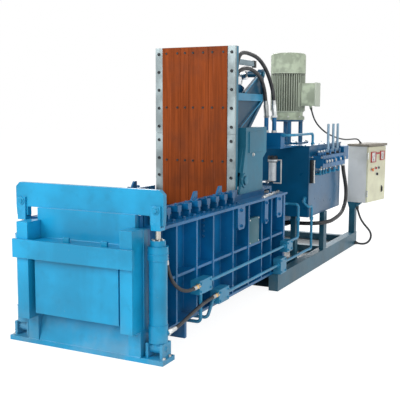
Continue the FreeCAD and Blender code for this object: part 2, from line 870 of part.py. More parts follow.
def lid_cylinder():
    eye = rod(barrel_eye_radius, on_line(0, -eye_half), on_line(0, eye_half))
    neck = rod(barrel_eye_radius - 6, on_line(0), on_line(barrel_start))
    barrel = rod(barrel_radius, on_line(barrel_start), on_line(barrel_end))
    gland = rod(barrel_radius - 6, on_line(barrel_end), on_line(barrel_end + barrel_gland))
    body = fuse([eye, neck, barrel, gland])
    bore = rod(barrel_bore, on_line(barrel_start + 10), on_line(barrel_end - 16))
    way_out = rod(lid_rod_radius + RUN, on_line(barrel_end - 17),
                  on_line(barrel_end + barrel_gland + 1))
    pin_hole = rod(ram_pin_radius + RUN, on_line(0, -eye_half - 1), on_line(0, eye_half + 1))
    save("lid_cylinder", body.cut(fuse([bore, way_out])).cut(pin_hole))

    seat = barrel_start + 10 + GAP
    piston = rod(barrel_bore - RUN, on_line(seat), on_line(seat + lid_piston_thick))
    stem = rod(lid_rod_radius, on_line(seat), on_line(rod_length))
    head = rod(lid_eye_radius, on_line(rod_length, -eye_half), on_line(rod_length, eye_half))
    save("lid_rod", fuse([piston, stem, head]))

    inner = eye_half + lug_gap
    outer = inner + lug_plate
    base = housing_bottom + housing_thick
    outline = [(ram_pin_y - 90, base), (ram_pin_y + 90, base), (ram_pin_y + 55, ram_pin_z),
               (ram_pin_y - 55, ram_pin_z)]
    lugs = [box(-rail_inner, rail_inner, housing_front, box_rear + bulkhead_thick,
                housing_bottom, base),
            box(feed_block_x0, feed_block_x1, feed_block_front, feed_block_front + 90, base,
                base + feed_block_height)]
    for x0 in (-outer, inner):
        lugs.append(slab_x(outline, x0, x0 + lug_plate))
        lugs.append(rod(55, (x0, ram_pin_y, ram_pin_z), (x0 + lug_plate, ram_pin_y, ram_pin_z)))
    lugs.append(rod(ram_pin_radius, (-outer - 8, ram_pin_y, ram_pin_z),
                    (outer + 8, ram_pin_y, ram_pin_z)))
    for route in (lid_hose_near, lid_hose_far):
        lugs.append(fitting(route, -1, feed_fitting_radius, feed_fitting_long))
    save("ram_housing_top", fuse(lugs))


def skid():
    inner = skid_outer - skid_width
    beam = box(inner, skid_outer, skid_front, skid_rear, 0, skid_height)
    hollow = box(inner + skid_plate, skid_outer - skid_plate, skid_front + skid_plate,
                 skid_rear - skid_plate, skid_plate, skid_height - skid_plate)
    beam = beam.cut(hollow)
    pieces = [beam, mirrored(beam)]
    for y in cross_stations:
        pieces.append(box(-inner, inner, y, y + cross_long, 0, cross_height))
    outer_leg = box(skid_outer - tank_leg_wide, skid_outer, tank_leg_station,
                    tank_leg_station + tank_leg_long, skid_height, tank_bottom)
    inner_leg = box(inner_leg_x, inner_leg_x + tank_leg_wide, inner_leg_station,
                    inner_leg_station + cross_long, cross_height, tank_bottom)
    for leg in (outer_leg, inner_leg):
        pieces.append(leg)
        pieces.append(mirrored(leg))
    pieces.append(fitting(post_conduit, -1, conduit_collar, skid_fitting_long))
    save("skid", fuse(pieces))

    bays = zip((skid_front,) + cross_stations, cross_stations)
    trays = []
    for start, end in bays:
        low = start if start == skid_front else start + cross_long
        trays.append(box(-inner + SEAT, inner - SEAT, low + SEAT, end - SEAT, tray_z,
                         tray_z + tray_thick))
    save("drip_tray", *trays)


def tank():
    shell = box(-tank_half, tank_half, tank_front, tank_rear, tank_bottom, tank_top)
    hollow = box(-tank_half + tank_wall, tank_half - tank_wall, tank_front + tank_wall,
                 tank_rear - tank_wall, tank_bottom + tank_wall, tank_top + 1)
    save("oil_tank", shell.cut(hollow))
    reach = tank_lid_reach
    save("tank_top", box(-tank_half - reach, tank_half + reach, tank_front - reach,
                         tank_rear + reach, tank_top, tank_deck))


def motor():
    base = box(motor_x - stool_half, motor_x + stool_half, motor_y - stool_half,
               motor_y + stool_half, tank_deck, tank_deck + stool_plate)
    table = rod(stool_table_radius, (motor_x, motor_y, stool_top - stool_plate),
                (motor_x, motor_y, stool_top))
    pieces = [base, table]
    for quarter in range(4):
        angle = math.radians(stool_turn + 90 * quarter)
        x = motor_x + stool_post_place * math.cos(angle)
        y = motor_y + stool_post_place * math.sin(angle)
        pieces.append(rod(stool_post_radius, (x, y, tank_deck), (x, y, stool_top - 1)))
    pieces.append(rod(stool_core_radius, (motor_x, motor_y, tank_deck),
                      (motor_x, motor_y, stool_top - 1)))
    save("motor_stool", fuse(pieces))

    flange = rod(motor_flange_radius, (motor_x, motor_y, stool_top),
                 (motor_x, motor_y, stool_top + motor_flange_thick))
    shield = rod(motor_shield_radius, (motor_x, motor_y, stool_top),
                 (motor_x, motor_y, motor_shield_top))
    case = rod(motor_radius, (motor_x, motor_y, motor_shield_top),
               (motor_x, motor_y, motor_top - 20))
    cowl = rod(cowl_radius, (motor_x, motor_y, cowl_bottom), (motor_x, motor_y, motor_top))
    cowl = cowl.makeFillet(28, [cowl.Edges[i] for i in top_edges(cowl)])
    terminal = box(terminal_x0, terminal_x1, terminal_y0, terminal_y1, terminal_bottom,
                   terminal_top)
    gland = fitting(motor_cable, 0, gland_collar, motor_gland_long)
    save("motor", fuse([flange, shield, case, cowl, terminal, gland]))


def top_edges(shape):
    high = shape.BoundBox.ZMax
    return [i for i, edge in enumerate(shape.Edges) if edge.BoundBox.ZMin > high - 0.01]


def valves():
    block = box(tank_half, tank_half + valve_reach, valve_front, valve_rear, valve_bottom,
                valve_top)
    end = box(tank_half, tank_half + 100, end_block_front, end_block_rear, end_block_bottom,
              end_block_top)
    bridge = box(tank_half, tank_half + 60, valve_rear, end_block_front, end_block_bottom + 20,
                 valve_top - 20)
    pieces = [block, end, bridge, fitting(valve_hose, 0, valve_fitting_radius, valve_fitting_long)]
    for y in lever_stations:
        for x0 in (lever_x - lever_hub_half - 6 - lever_ear_thick, lever_x + lever_hub_half + 6):
            pieces.append(box(x0, x0 + lever_ear_thick, y - 18, y + 18, valve_top,
                              lever_pivot_z + 18))
        pieces.append(rod(8, (lever_x - 32, y, lever_pivot_z), (lever_x + 32, y, lever_pivot_z)))
    save("valve_bank", fuse(pieces))
    for number, y in enumerate(lever_stations):
        hub = rod(lever_hub_radius, (lever_x - lever_hub_half, y, lever_pivot_z),
                  (lever_x + lever_hub_half, y, lever_pivot_z))
        handle = rod(lever_radius, (lever_x, y, lever_pivot_z), (lever_x, y, lever_top))
        hole = rod(8 + RUN, (lever_x - 40, y, lever_pivot_z), (lever_x + 40, y, lever_pivot_z))
        save("lever_%d" % (number + 1), fuse([hub, handle]).cut(hole))


def manifold():
    shelf_top = tank_top + shelf_thick
    block_top = shelf_top + manifold_height
    middle = manifold_front + manifold_deep / 2
    pieces = [box(manifold_low_x, manifold_high_x, manifold_front - 10, tank_front - tank_lid_reach,
                  tank_top, shelf_top),
              box(manifold_low_x, manifold_high_x, manifold_front, manifold_front + manifold_deep,
                  shelf_top, block_top)]
    for x, route in ((stub_near, lid_hose_near), (stub_far, lid_hose_far)):
        pieces.append(rod(pipe_radius + 8, (x, middle, block_top - 1), (x, middle, stub_top)))
        pieces.append(fitting(route, 0, hose_radius + 5, lid_sleeve_long))
    save("manifold", fuse(pieces))

    z = block_top - bridge_drop
    landing = tank_front + bridge_landing
    save("bridge_pipe", pipe([(manifold_high_x, middle, z), (manifold_high_x + 45, middle, z),
                              (bridge_x, middle + 80, z), (bridge_x, landing, z),
                              (bridge_x, landing, tank_deck)], pipe_radius, 32))


def upper_side_pipe():
    outer = pipe_x + block_overhang
    front_block = box(rib_outer, outer, upper_block_front, upper_block_rear, upper_block_bottom,
                      upper_block_top)
    rear_block = box(rib_outer, outer, rear_block_front, rear_block_rear, rear_block_bottom,
                     rear_block_top)
    straight = rod(pipe_radius, (pipe_x, upper_block_rear - 1, upper_pipe_z),
                   (pipe_x, rear_block_front + 1, upper_pipe_z))
    z = upper_pipe_z + 20
    riser = pipe([(pipe_x, rear_block_rear - 1, z), (pipe_x, riser_y, z),
                  (pipe_x, riser_y, upper_riser_top), (upper_port_x, riser_y, upper_riser_top),
                  (upper_port_x, box_rear + bulkhead_thick, upper_riser_top)], pipe_radius, 30)
    y = upper_cross_y
    cross = pipe([(pipe_x, y, upper_block_bottom + 1), (pipe_x, y, cross_pipe_z),
                  (-cross_pipe_end, y, cross_pipe_z), (-cross_pipe_end, y, box_bottom)],
                 pipe_radius, 30)
    fit = fitting(gate_hose_upper, -1, port_radius, block_fitting_long)
    save("upper_side_pipe", fuse([front_block, straight, rear_block, riser, cross, fit]))


def lower_side_pipe():
    outer = pipe_x + block_overhang
    block = box(rib_outer, outer, lower_block_front, lower_block_rear, lower_block_bottom,
                lower_block_top)
    clamp = box(rib_outer, outer, clamp_front, clamp_rear, skid_height, clamp_top)
    clear_x = tank_half + pipe_radius + GAP
    corner = tank_front - 27
    run = pipe([(pipe_x, lower_block_rear - 1, lower_pipe_z), (pipe_x, tank_front - 60, lower_pipe_z),
                (clear_x, lower_riser_y, lower_pipe_z), (clear_x, lower_riser_y, lower_riser_top),
                (pipe_x, corner, lower_riser_top),
                (lower_port_x, corner, lower_riser_top + lower_port_rise / 2),
                (lower_port_x, corner, lower_riser_top + lower_port_rise),
                (lower_port_x, tank_front, lower_riser_top + lower_port_rise)], pipe_radius, 18)
    x = pipe_x - 8
    y = lower_cross_y
    cross = pipe([(x, lower_block_front + 11, lower_block_bottom + 43),
                  (x, lower_block_front - 29, lower_block_bottom + 33), (x, y + 30, cross_pipe_z),
                  (-cross_pipe_end, y, cross_pipe_z), (-cross_pipe_end, y, box_bottom)],
                 pipe_radius, 26)
    fit = fitting(gate_hose_lower, -1, port_radius, block_fitting_long)
    save("lower_side_pipe", fuse([block, clamp, run, cross, fit]))


def turned(shape):
    shape = shape.copy()
    shape.rotate(V(cabinet_x, cabinet_y, 0), V(0, 0, 1), -cabinet_turn)
    return shape


def cabinet():
    x0 = cabinet_x - cabinet_deep
    y1 = cabinet_y + cabinet_long
    face = cabinet_x - cabinet_door_thick
    wall = cabinet_wall
    shell = box(x0, face, cabinet_y, y1, cabinet_bottom, cabinet_top)
    hollow = box(x0 + wall, face + 1, cabinet_y + wall, y1 - wall, cabinet_bottom + wall,
                 cabinet_top - wall)
    cap = box(x0 - 10, cabinet_x + 14, cabinet_y - 10, y1 + 10, cabinet_top,
              cabinet_top + cabinet_cap_thick)
    gland = fitting(motor_cable, -1, gland_collar, cabinet_gland_long)
    save("cabinet", fuse([turned(fuse([shell.cut(hollow), cap])), gland]))
    tray = box(face + 1, cabinet_x, cabinet_y + 2, y1 - 2, cabinet_bottom + 5, cabinet_top - 6)
    inner = box(face, cabinet_x - 3, cabinet_y + 5, y1 - 5, cabinet_bottom + 8, cabinet_top - 9)
    knuckles = []
    for z in (cabinet_bottom + knuckle_inset, cabinet_top - knuckle_inset - knuckle_long):
        knuckles.append(rod(knuckle_radius, (cabinet_x, cabinet_y, z),
                            (cabinet_x, cabinet_y, z + knuckle_long)))
    save("cabinet_door", turned(fuse([tray.cut(inner)] + knuckles)))

    post = box(post_x0, post_x1, post_front_y, skid_rear, skid_height, post_head_z)
    hollow = box(post_x0 + post_plate, post_x1 - post_plate, post_front_y + post_plate,
                 skid_rear - post_plate, skid_height - 1, post_head_z - post_plate)
    head = Part.makeLoft([
        Part.makePolygon([V(post_x0 - 30, cabinet_y + 30, cabinet_bottom),
                          V(cabinet_x - 70, cabinet_y + 30, cabinet_bottom),
                          V(cabinet_x - 70, cabinet_y + 190, cabinet_bottom),
                          V(post_x0 - 30, cabinet_y + 190, cabinet_bottom),
                          V(post_x0 - 30, cabinet_y + 30, cabinet_bottom)]),
        Part.makePolygon([V(post_x0, post_front_y, post_head_z),
                          V(post_x1, post_front_y, post_head_z),
                          V(post_x1, skid_rear, post_head_z),
                          V(post_x0, skid_rear, post_head_z),
                          V(post_x0, post_front_y, post_head_z)])], True, True)
    collar = fitting(post_conduit, 0, conduit_collar, post_fitting_long)
    save("cabinet_post", fuse([post.cut(hollow), head, collar]))


post_head_z = cabinet_bottom - 70


def small_fittings():
    save("junction_box", box(wall_outer + rib_second_reach, 505, 1614, 1814,
                             rail_mid + rail_mid_thick / 2, 711))
    cup_x = 185
    cup_y = tank_front - 62
    bowl = rod(38, (cup_x, cup_y, 900), (cup_x, cup_y, 1085))
    head = rod(48, (cup_x, cup_y, 1085), (cup_x, cup_y, 1135))
    arm = box(cup_x - 22, cup_x + 22, cup_y, tank_front, 1092, 1128)
    save("filter_bowl", fuse([bowl, head, arm]))


# Routes of the free hoses and cables, chosen by hand
gate_hose_upper = [(530, 190, 650), (528, 213, 590), (530, 238, 530), (542, 268, 470),
                   (562, 320, 418), (576, 396, 392), (578, 480, 388), (575, 550, 389.5)]
gate_hose_lower = [(592, 147, 192), (600, 190, 197), (603, 262, 208), (600, 350, 222),
                   (592, 440, 233), (586, 530, 242), (580, 620, 250), (575, 710, 255),
                   (571, 800, 256), (569.5, 866, 256.5)]
lid_hose_near = [(318.7, 2616.2, 1639.8), (314, 2612, 1740), (292, 2580, 1873), (268, 2506, 1988),
                 (258, 2365, 2062), (255, 2210, 2084), (257, 2062, 2092), (264, 1944, 2070),
                 (275, 1860, 1992), (284, 1826, 1880), (289, 1822, 1750), (289, 1821, 1620),
                 (289, 1823, 1480), (289, 1838, 1340), (288, 1882, 1210), (288, 1960, 1098),
                 (288, 2050, 1010), (288, 2112, 963)]
lid_hose_far = [(244, 2603.1, 1638.4), (244, 2586, 1730), (246, 2520, 1838), (248, 2410, 1912),
                (248, 2250, 1954), (248, 2101, 1962), (248, 1958, 1926), (248, 1868, 1836),
                (248, 1830, 1710), (248, 1821, 1580), (248, 1823, 1450), (248, 1838, 1320),
                (248, 1882, 1200), (248, 1960, 1094), (248, 2050, 1006), (248, 2112, 961)]
motor_cable = [(401, 3464, 1612), (404, 3500, 1560), (410, 3550, 1500), (424, 3650, 1430),
               (450, 3850, 1350), (480, 4150, 1290), (500, 4420, 1262), (520, 4640, 1262),
               (540, 4755, 1262), (556, 4820, 1244), (563, 4856, 1212)]
valve_hose = [(600.5, 3975, 1050), (602, 4000, 960), (606, 4060, 850), (612, 4108, 735),
              (614, 4096, 600), (612, 3995, 505), (618, 3850, 474), (624, 3710, 464),
              (626, 3590, 458), (622, 3480, 452), (560, 3372, 446), (456, 3316, 440),
              (300, 3318, 434), (140, 3320, 430.5)]
post_conduit = [(585, 4720, 446), (612, 4716, 345), (668, 4716, 259), (741, 4716, 186),
                (761, 4716, 132.5), (753, 4716, 81), (722, 4716, 39), (676, 4716, 18),
                (620, 4716, 17), (586, 4716, 24)]


def hoses():
    cord("gate_hose_upper", gate_hose_upper, gate_hose_radius)
    cord("gate_hose_lower", gate_hose_lower, gate_hose_radius)
    cord("lid_hose_near", lid_hose_near, hose_radius)
    cord("lid_hose_far", lid_hose_far, hose_radius)
    cord("motor_cable", motor_cable, cable_radius)
    cord("valve_hose", valve_hose, valve_hose_radius)
    cord("post_conduit", post_conduit, conduit_radius)


os.makedirs("parts", exist_ok=True)
foot_and_sill()
gate_frame()
sliding_gate()
gate_lift()
charging_box()
shear_rail(fin_stations_right, "right")
shear_rail(fin_stations_left, "left")
ram_and_cylinder()
save_pair("cheek", cheek())
lid()
lid_arms()
lid_cylinder()
skid()
tank()
motor()
valves()
manifold()
upper_side_pipe()
lower_side_pipe()
cabinet()
small_fittings()
hoses()
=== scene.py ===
import math

import bmesh
import bpy
from bpy.props import FloatProperty, FloatVectorProperty, IntProperty, PointerProperty
from mathutils import Matrix, Vector


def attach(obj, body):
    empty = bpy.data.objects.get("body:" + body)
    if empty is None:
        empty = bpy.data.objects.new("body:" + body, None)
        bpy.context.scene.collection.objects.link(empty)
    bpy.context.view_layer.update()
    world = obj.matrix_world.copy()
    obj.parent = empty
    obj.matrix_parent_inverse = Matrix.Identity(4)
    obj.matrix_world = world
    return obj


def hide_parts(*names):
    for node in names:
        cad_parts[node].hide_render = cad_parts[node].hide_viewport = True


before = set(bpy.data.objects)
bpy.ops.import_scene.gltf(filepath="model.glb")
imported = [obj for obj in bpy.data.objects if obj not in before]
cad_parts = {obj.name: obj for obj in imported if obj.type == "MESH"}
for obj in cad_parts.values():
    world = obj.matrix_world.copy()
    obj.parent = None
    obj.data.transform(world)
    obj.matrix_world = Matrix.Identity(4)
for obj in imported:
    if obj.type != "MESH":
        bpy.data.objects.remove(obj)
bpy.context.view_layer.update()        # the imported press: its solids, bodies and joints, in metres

bl_info = {
    "name": "Scrap Baling Press",
    "version": (1, 0, 0),
    "blender": (4, 5, 0),
    "location": "View3D > Sidebar > Baling Press",
    "description": "Paint, fasteners, hoses, instruments and studio for a scrap baling press",
    "category": "Object",
}

FOOT_CENTRE = 78.0       # mm from the foot plate's front edge to the origin
MACHINE = "machine"
FRONT, BACK = Vector((0, -1, 0)), Vector((0, 1, 0))
RIGHT, UP = Vector((1, 0, 0)), Vector((0, 0, 1))
SIDES = ((1, "right"), (-1, "left"))

# Stations of part.py, in mm: y runs rearwards from the foot plate's front edge
FORK_PIN_Z = 974
GATE_CYLINDER_X, GATE_CYLINDER_Y = 532, 86.5
GATE_CYLINDER_TOP = 784
BOX_WALL = 405
RIBS = (365, 661, 929, 1281, 1592, 1876, 2096)
LID_HINGE = (1745, 1015)
LID_PIN = (2579, 1929)
LID_CYLINDER_BASE = (0, 2110, 1120)
LID_CYLINDER_LINE = (0, 469, 809)
CHEEK_FACE = 402
MOTOR = (150, 3450)
TANK_X, TANK_FRONT, TANK_BACK = 540, 3012, 4075
TANK_TOP = 1252
COVER_Z = 880
FILTER = (185, 2950)
LEVERS_Y = (3430, 3604, 3762)
BLANKS_Y = (3126, 3212, 3300)
VALVE_X, SPOOL_Z = 600, 1098
DOOR_HINGE = (700, 4700)
CABINET_TURN = -10.3     # degrees about the door's hinge
PIPE_BLOCKS = ((573, 770, 325, 422), (889, 1065, 186, 290),
               (2165, 2305, 150, 290), (2325, 2465, 322, 422))


def at(x, y, z):
    """A place in metres, from millimetres along the press's stations."""
    return Vector((x, y - FOOT_CENTRE, z)) / 1000


# ---- settings

def colour(name, description, value):
    return FloatVectorProperty(name=name, description=description, subtype="COLOR", size=3,
                               min=0.0, max=1.0, default=value)


def length(name, description, value):
    return FloatProperty(name=name, description=description, default=value, min=0.0,
                         subtype="DISTANCE", unit="LENGTH")


def turn_angle(name, description, degrees):
    return FloatProperty(name=name, description=description, default=math.radians(degrees),
                         subtype="ANGLE", unit="ROTATION")


class PressPaints(bpy.types.PropertyGroup):
    """Colours of the press."""
    gate: colour("Gate", "Bright blue of the gate and its cylinders", (0.008, 0.31, 0.56))
    box: colour("Charging box", "Blue of the box, its ribs and the pipes", (0.002, 0.15, 0.37))
    tank: colour("Tank and skid", "Deep blue of the oil tank and the skid", (0.002, 0.115, 0.26))
    cheeks: colour("Cheeks and lid", "Green-blue of the lid's frame and hinge", (0.02, 0.19, 0.30))
    boards: colour("Lid boards", "Red-brown of the lid's facing boards", (0.27, 0.05, 0.004))
    motor: colour("Motor", "Grey-green of the motor", (0.48, 0.55, 0.41))
    cabinet: colour("Cabinet door", "Cream of the cabinet's door", (0.95, 0.92, 0.66))


class PressSizes(bpy.types.PropertyGroup):
    """Sizes of the small pieces."""
    plate_bolt: length("Plate bolts", "Width across a plate bolt's head", 0.022)
    weld: length("Weld beads", "Radius of the weld beads", 0.004)
    fin_count: IntProperty(name="Motor fins", description="Cooling fins round the motor",
                           default=44, min=8, max=90)


class PressStage(bpy.types.PropertyGroup):
    """Camera and lamps."""
    lens: FloatProperty(name="Lens", description="Focal length", default=66.06, min=10.0,
                        subtype="DISTANCE_CAMERA", unit="CAMERA")
    azimuth: turn_angle("Azimuth", "Turn of the camera round the press", 26.785)
    pitch: turn_angle("Pitch", "Downward tilt of the camera", 7.03)
    roll: turn_angle("Roll", "Roll of the camera", 0.19)
    key: FloatProperty(name="Key lamp", description="Power of the large lamp in front",
                       default=420.0, min=0.0, subtype="POWER", unit="POWER")


# ---- finishes

class Wire:
    """A node's output that takes part in ordinary arithmetic."""

    def __init__(self, nodes, socket):
        self.nodes = nodes
        self.socket = socket

    def math(self, operation, *others):
        values = dict(enumerate((self,) + others))
        return self.nodes.add("ShaderNodeMath", {"operation": operation}, values)

    def __add__(self, other):
        return self.math("ADD", other)

    def __sub__(self, other):
        return self.math("SUBTRACT", other)

    def __mul__(self, other):
        return self.math("MULTIPLY", other)

    def __rsub__(self, other):
        return self.nodes.add("ShaderNodeMath", {"operation": "SUBTRACT"}, {0: other, 1: self})

    __radd__ = __add__
    __rmul__ = __mul__


class Nodes:
    """A node tree under construction."""

    def __init__(self, tree):
        self.tree = tree
        tree.nodes.clear()

    def add(self, kind, settings=None, values=None, out=0):
        """One node: its settings first, then the values or links of its sockets."""
        node = self.tree.nodes.new(kind)
        for name, value in (settings or {}).items():
            setattr(node, name, value)
        for name, value in (values or {}).items():
            if isinstance(value, Wire):
                self.tree.links.new(value.socket, node.inputs[name])
            else:
                node.inputs[name].default_value = value
        return Wire(self, node.outputs[out]) if node.outputs else node


class Finish(Nodes):
    """One procedural material on Object coordinates."""

    def __init__(self, name):
        self.material = bpy.data.materials.new(name)
        self.material.use_nodes = True
        super().__init__(self.material.node_tree)
        self.place = self.add("ShaderNodeTexCoord", out="Object")

    def stretched(self, x, y, z):
        return self.add("ShaderNodeMapping", values={"Vector": self.place, "Scale": (x, y, z)})

    def noise(self, scale, detail=3.0, where=None, distortion=0.0):
        return self.add("ShaderNodeTexNoise", values={
            "Vector": where or self.place, "Scale": scale, "Detail": detail,
            "Distortion": distortion})

    def span(self, value, low, high):
        """0 below low, 1 above high and smooth between."""
        return self.add("ShaderNodeMapRange", {"interpolation_type": "SMOOTHSTEP"},
                        {"Value": value, "From Min": low, "From Max": high})

    def mix(self, share, first, second):
        first, second = (c if isinstance(c, Wire) else (*c, 1.0) for c in (first, second))
        return self.add("ShaderNodeMix", {"data_type": "RGBA"}, {0: share, 6: first, 7: second},
                        out=2)

    def height(self):
        return self.add("ShaderNodeSeparateXYZ", values={"Vector": self.place}, out="Z")

    def rounding(self, radius):
        """(normal with rounded edges, share of edge) within radius of a corner."""
        soft = self.add("ShaderNodeBevel", {"samples": 4}, {"Radius": radius})
        plain = self.add("ShaderNodeNewGeometry", out="Normal")
        dot = self.add("ShaderNodeVectorMath", {"operation": "DOT_PRODUCT"}, {0: soft, 1: plain},
                       out="Value")
        return soft, self.span(1 - dot, 0.01, 0.22)

    def bump(self, height, strength, distance, normal=None):
        values = {"Height": height, "Strength": strength, "Distance": distance}
        if normal:
            values["Normal"] = normal
        return self.add("ShaderNodeBump", values=values)

    def done(self, **sockets):
        """The shader: socket names are written with _ for their spaces."""
        values = {}
        for name, value in sockets.items():
            fixed = isinstance(value, tuple) and len(value) == 3
            values[name.replace("_", " ")] = (*value, 1.0) if fixed else value
        shader = self.add("ShaderNodeBsdfPrincipled", values=values)
        self.add("ShaderNodeOutputMaterial", values={"Surface": shader})
        return self.material


def tint(base, light=1.0, lift=0.0):
    return tuple(min(1.0, c * light + lift) for c in base)


def lifted(base, light, lift):
    return tuple(min(1.0, c * light + more) for c, more in zip(base, lift))


DUST = (0.26, 0.27, 0.25)
# teal lift for paler edges: partly rubbed paint, partly painted highlight
EDGE_WEAR_AND_HIGHLIGHT = (0.03, 0.08, 0.10)
RUN_LIGHT = (0.004, 0.02, 0.03)
BARE_STEEL = (0.32, 0.35, 0.36)


def painted_steel(name, base, gloss=0.33, wear=1.0, dust=0.25, rounded=0.004, grime=0.2):
    """Brushed-on gloss paint: clouds, runs, pale edges (partly rubbed paint, partly painted
    highlight), chips and floor dust.
    """
    f = Finish(name)
    cloud = f.noise(1.9, 4.0)
    mottle = f.noise(13.0, 5.0)
    runs = f.noise(8.0, 3.0, f.stretched(1.0, 1.0, 0.12))
    grain = f.noise(210.0, 2.0)
    soft, edge = f.rounding(rounded)
    coat = f.mix(f.span(cloud, 0.36, 0.66), tint(base, 0.74), tint(base, 1.08))
    coat = f.mix(f.span(runs, 0.55, 0.78) * 0.3, coat, lifted(base, 1.15, RUN_LIGHT))
    coat = f.mix(f.span(mottle, 0.30, 0.46) * -grime + grime, coat, tint(base, 0.5))
    # paler edges, partly rubbed paint and partly painted highlight
    rubbed = f.span(edge + mottle * 0.8, 0.75, 1.15) * wear
    coat = f.mix(rubbed * 0.55, coat, lifted(base, 1.1, EDGE_WEAR_AND_HIGHLIGHT))
    chips = f.span(f.noise(60.0, 3.0) + edge * 0.12, 0.75, 0.79) * wear
    coat = f.mix(chips * 0.6, coat, BARE_STEEL)
    low = 1 - f.span(f.height(), 0.02, 0.42)
    soil = f.span(f.noise(5.0, 6.0), 0.40, 0.68) * low * dust
    coat = f.mix(soil, coat, DUST)
    skin = f.bump(grain * 0.35 + mottle * 0.65 - chips * 0.6, 0.10, 0.004, soft)
    return f.done(Base_Color=coat, Roughness=soil * 0.4 + mottle * 0.14 + gloss - 0.05,
                  Normal=skin, Specular_IOR_Level=0.32, Coat_Weight=0.08, Coat_Roughness=0.2)


def motor_case(name, base):
    """Motor enamel, with painted shade darkening the spaces between the fins."""
    f = Finish(name)
    height = f.height()
    across = f.add("ShaderNodeSeparateXYZ", values={"Vector": f.place}, out="X")
    fin_shade = (f.span(height, 1.584, 1.592) * (1 - f.span(height, 1.960, 1.968))
            * (1 - f.span(across, 0.318, 0.322)))
    grime = f.noise(11.0, 5.0)
    coat = f.mix(f.span(grime, 0.42, 0.62), tint(base, 0.72), tint(base, 1.08))
    # painted shade: the band between the fins is darkened
    coat = f.mix(fin_shade * 0.85, coat, tint(base, 0.16))
    soft, edge = f.rounding(0.004)
    # paler edges: painted highlight
    coat = f.mix(edge * 0.5, coat, tint(base, 1.1, 0.1))
    return f.done(Base_Color=coat, Roughness=grime * 0.3 + 0.34, Specular_IOR_Level=0.35,
                  Normal=f.bump(f.noise(170.0), 0.12, 0.002, soft))


def rod_and_fork(name, fork, rod):
    """Chromed rod below, painted fork above."""
    f = Finish(name)
    painted = f.span(f.height(), 0.8455, 0.8465)
    haze = f.noise(18.0, 4.0)
    soft, edge = f.rounding(0.003)
    # paler edges on the fork: painted highlight
    coat = f.mix(edge * 0.5, fork, lifted(fork, 1.1, EDGE_WEAR_AND_HIGHLIGHT))
    coat = f.mix(f.span(haze, 0.36, 0.5) * -0.2 + 0.2, coat, tint(fork, 0.55))
    coat = f.mix(painted, rod, coat)
    return f.done(Base_Color=coat, Metallic=(1 - painted) * 0.9, Roughness=haze * 0.2 + 0.16,
                  Normal=f.bump(haze, 0.05, 0.002, soft))


def lid_board(name, base):
    """Red-brown planks: long grain, each plank its own tone, scuffs and oil stains."""
    f = Finish(name)
    grain = f.noise(6.0, 7.0, f.stretched(13.0, 13.0, 0.4), 0.3)
    fibre = f.noise(60.0, 3.0, f.stretched(3.0, 3.0, 0.05))
    tone = f.noise(2.7, 0.0, f.stretched(2.2, 0.0, 0.0))
    stain = f.noise(3.2, 5.0)
    wood = f.mix(f.span(grain, 0.34, 0.66), tint(base, 0.74), tint(base, 1.15, 0.004))
    wood = f.mix(f.span(tone, 0.40, 0.60) * 0.45, wood, tint(base, 0.72))
    wood = f.mix(f.span(stain, 0.50, 0.74) * 0.6, wood, tint(base, 0.42))
    wood = f.mix(f.span(fibre, 0.60, 0.78) * 0.35, wood, tint(base, 1.3, 0.06))
    soft, edge = f.rounding(0.004)
    wood = f.mix(edge * 0.4, wood, tint(base, 0.35))
    return f.done(Base_Color=wood, Roughness=0.78 - f.span(stain, 0.4, 0.8) * 0.2,
                  Specular_IOR_Level=0.2,
                  Normal=f.bump(grain * 0.6 + fibre * 0.4, 0.35, 0.004, soft))


def worn_steel(name, base, rough=0.38, metallic=0.85):
    """Bare steel: grinding marks, dull patches and bright worn edges."""
    f = Finish(name)
    marks = f.noise(90.0, 3.0, f.stretched(1.0, 1.0, 0.05))
    patch = f.noise(7.0, 5.0)
    soft, edge = f.rounding(0.003)
    metal = f.mix(f.span(patch, 0.36, 0.66), tint(base, 0.6), tint(base, 1.1))
    metal = f.mix(edge * 0.5, metal, tint(base, 1.25, 0.12))
    return f.done(Base_Color=metal, Metallic=metallic,
                  Roughness=marks * 0.22 + patch * 0.1 + rough - 0.16,
                  Normal=f.bump(marks, 0.12, 0.001, soft))


def polished(name, base, rough=0.12):
    """Chrome or brass: turned rings of faint scratches and oil haze."""
    f = Finish(name)
    haze = f.noise(18.0, 4.0)
    rings = f.noise(160.0, 2.0, f.stretched(0.1, 0.1, 3.0))
    metal = f.mix(f.span(haze, 0.4, 0.7), base, tint(base, 0.78))
    return f.done(Base_Color=metal, Metallic=1.0,
                  Roughness=haze * 0.12 + rings * 0.06 + rough - 0.08,
                  Normal=f.bump(rings, 0.05, 0.0006))


def moulded(name, base, rough=0.42, coat=0.0, speck=150.0):
    """Plastic, rubber or enamel with a fine skin, handling marks and a little dust."""
    f = Finish(name)
    skin = f.noise(speck, 2.0)
    marks = f.noise(16.0, 5.0)
    body = f.mix(f.span(marks, 0.36, 0.68), tint(base, 0.82), tint(base, 1.05))
    body = f.mix(f.span(f.noise(5.0, 6.0), 0.56, 0.75) * 0.18, body, DUST)
    return f.done(Base_Color=body, Roughness=marks * 0.16 + rough - 0.08,
                  Coat_Weight=coat, Normal=f.bump(skin, 0.12, 0.001))


def hose_rubber(name, base):
    """Hydraulic hose: a wrapped cover, rubbed dull and pale in patches."""
    f = Finish(name)
    wrap = f.add("ShaderNodeTexWave", {"wave_type": "BANDS", "bands_direction": "DIAGONAL"},
                 {"Vector": f.place, "Scale": 70.0, "Distortion": 1.2, "Detail": 2.0}, out="Fac")
    rub = f.noise(14.0, 5.0)
    cover = f.mix(f.span(rub, 0.42, 0.72), base, tint(base, 1.4, 0.035))
    return f.done(Base_Color=cover, Roughness=rub * 0.3 + 0.36,
                  Normal=f.bump(wrap * 0.5 + f.noise(180.0) * 0.5, 0.25, 0.0012))


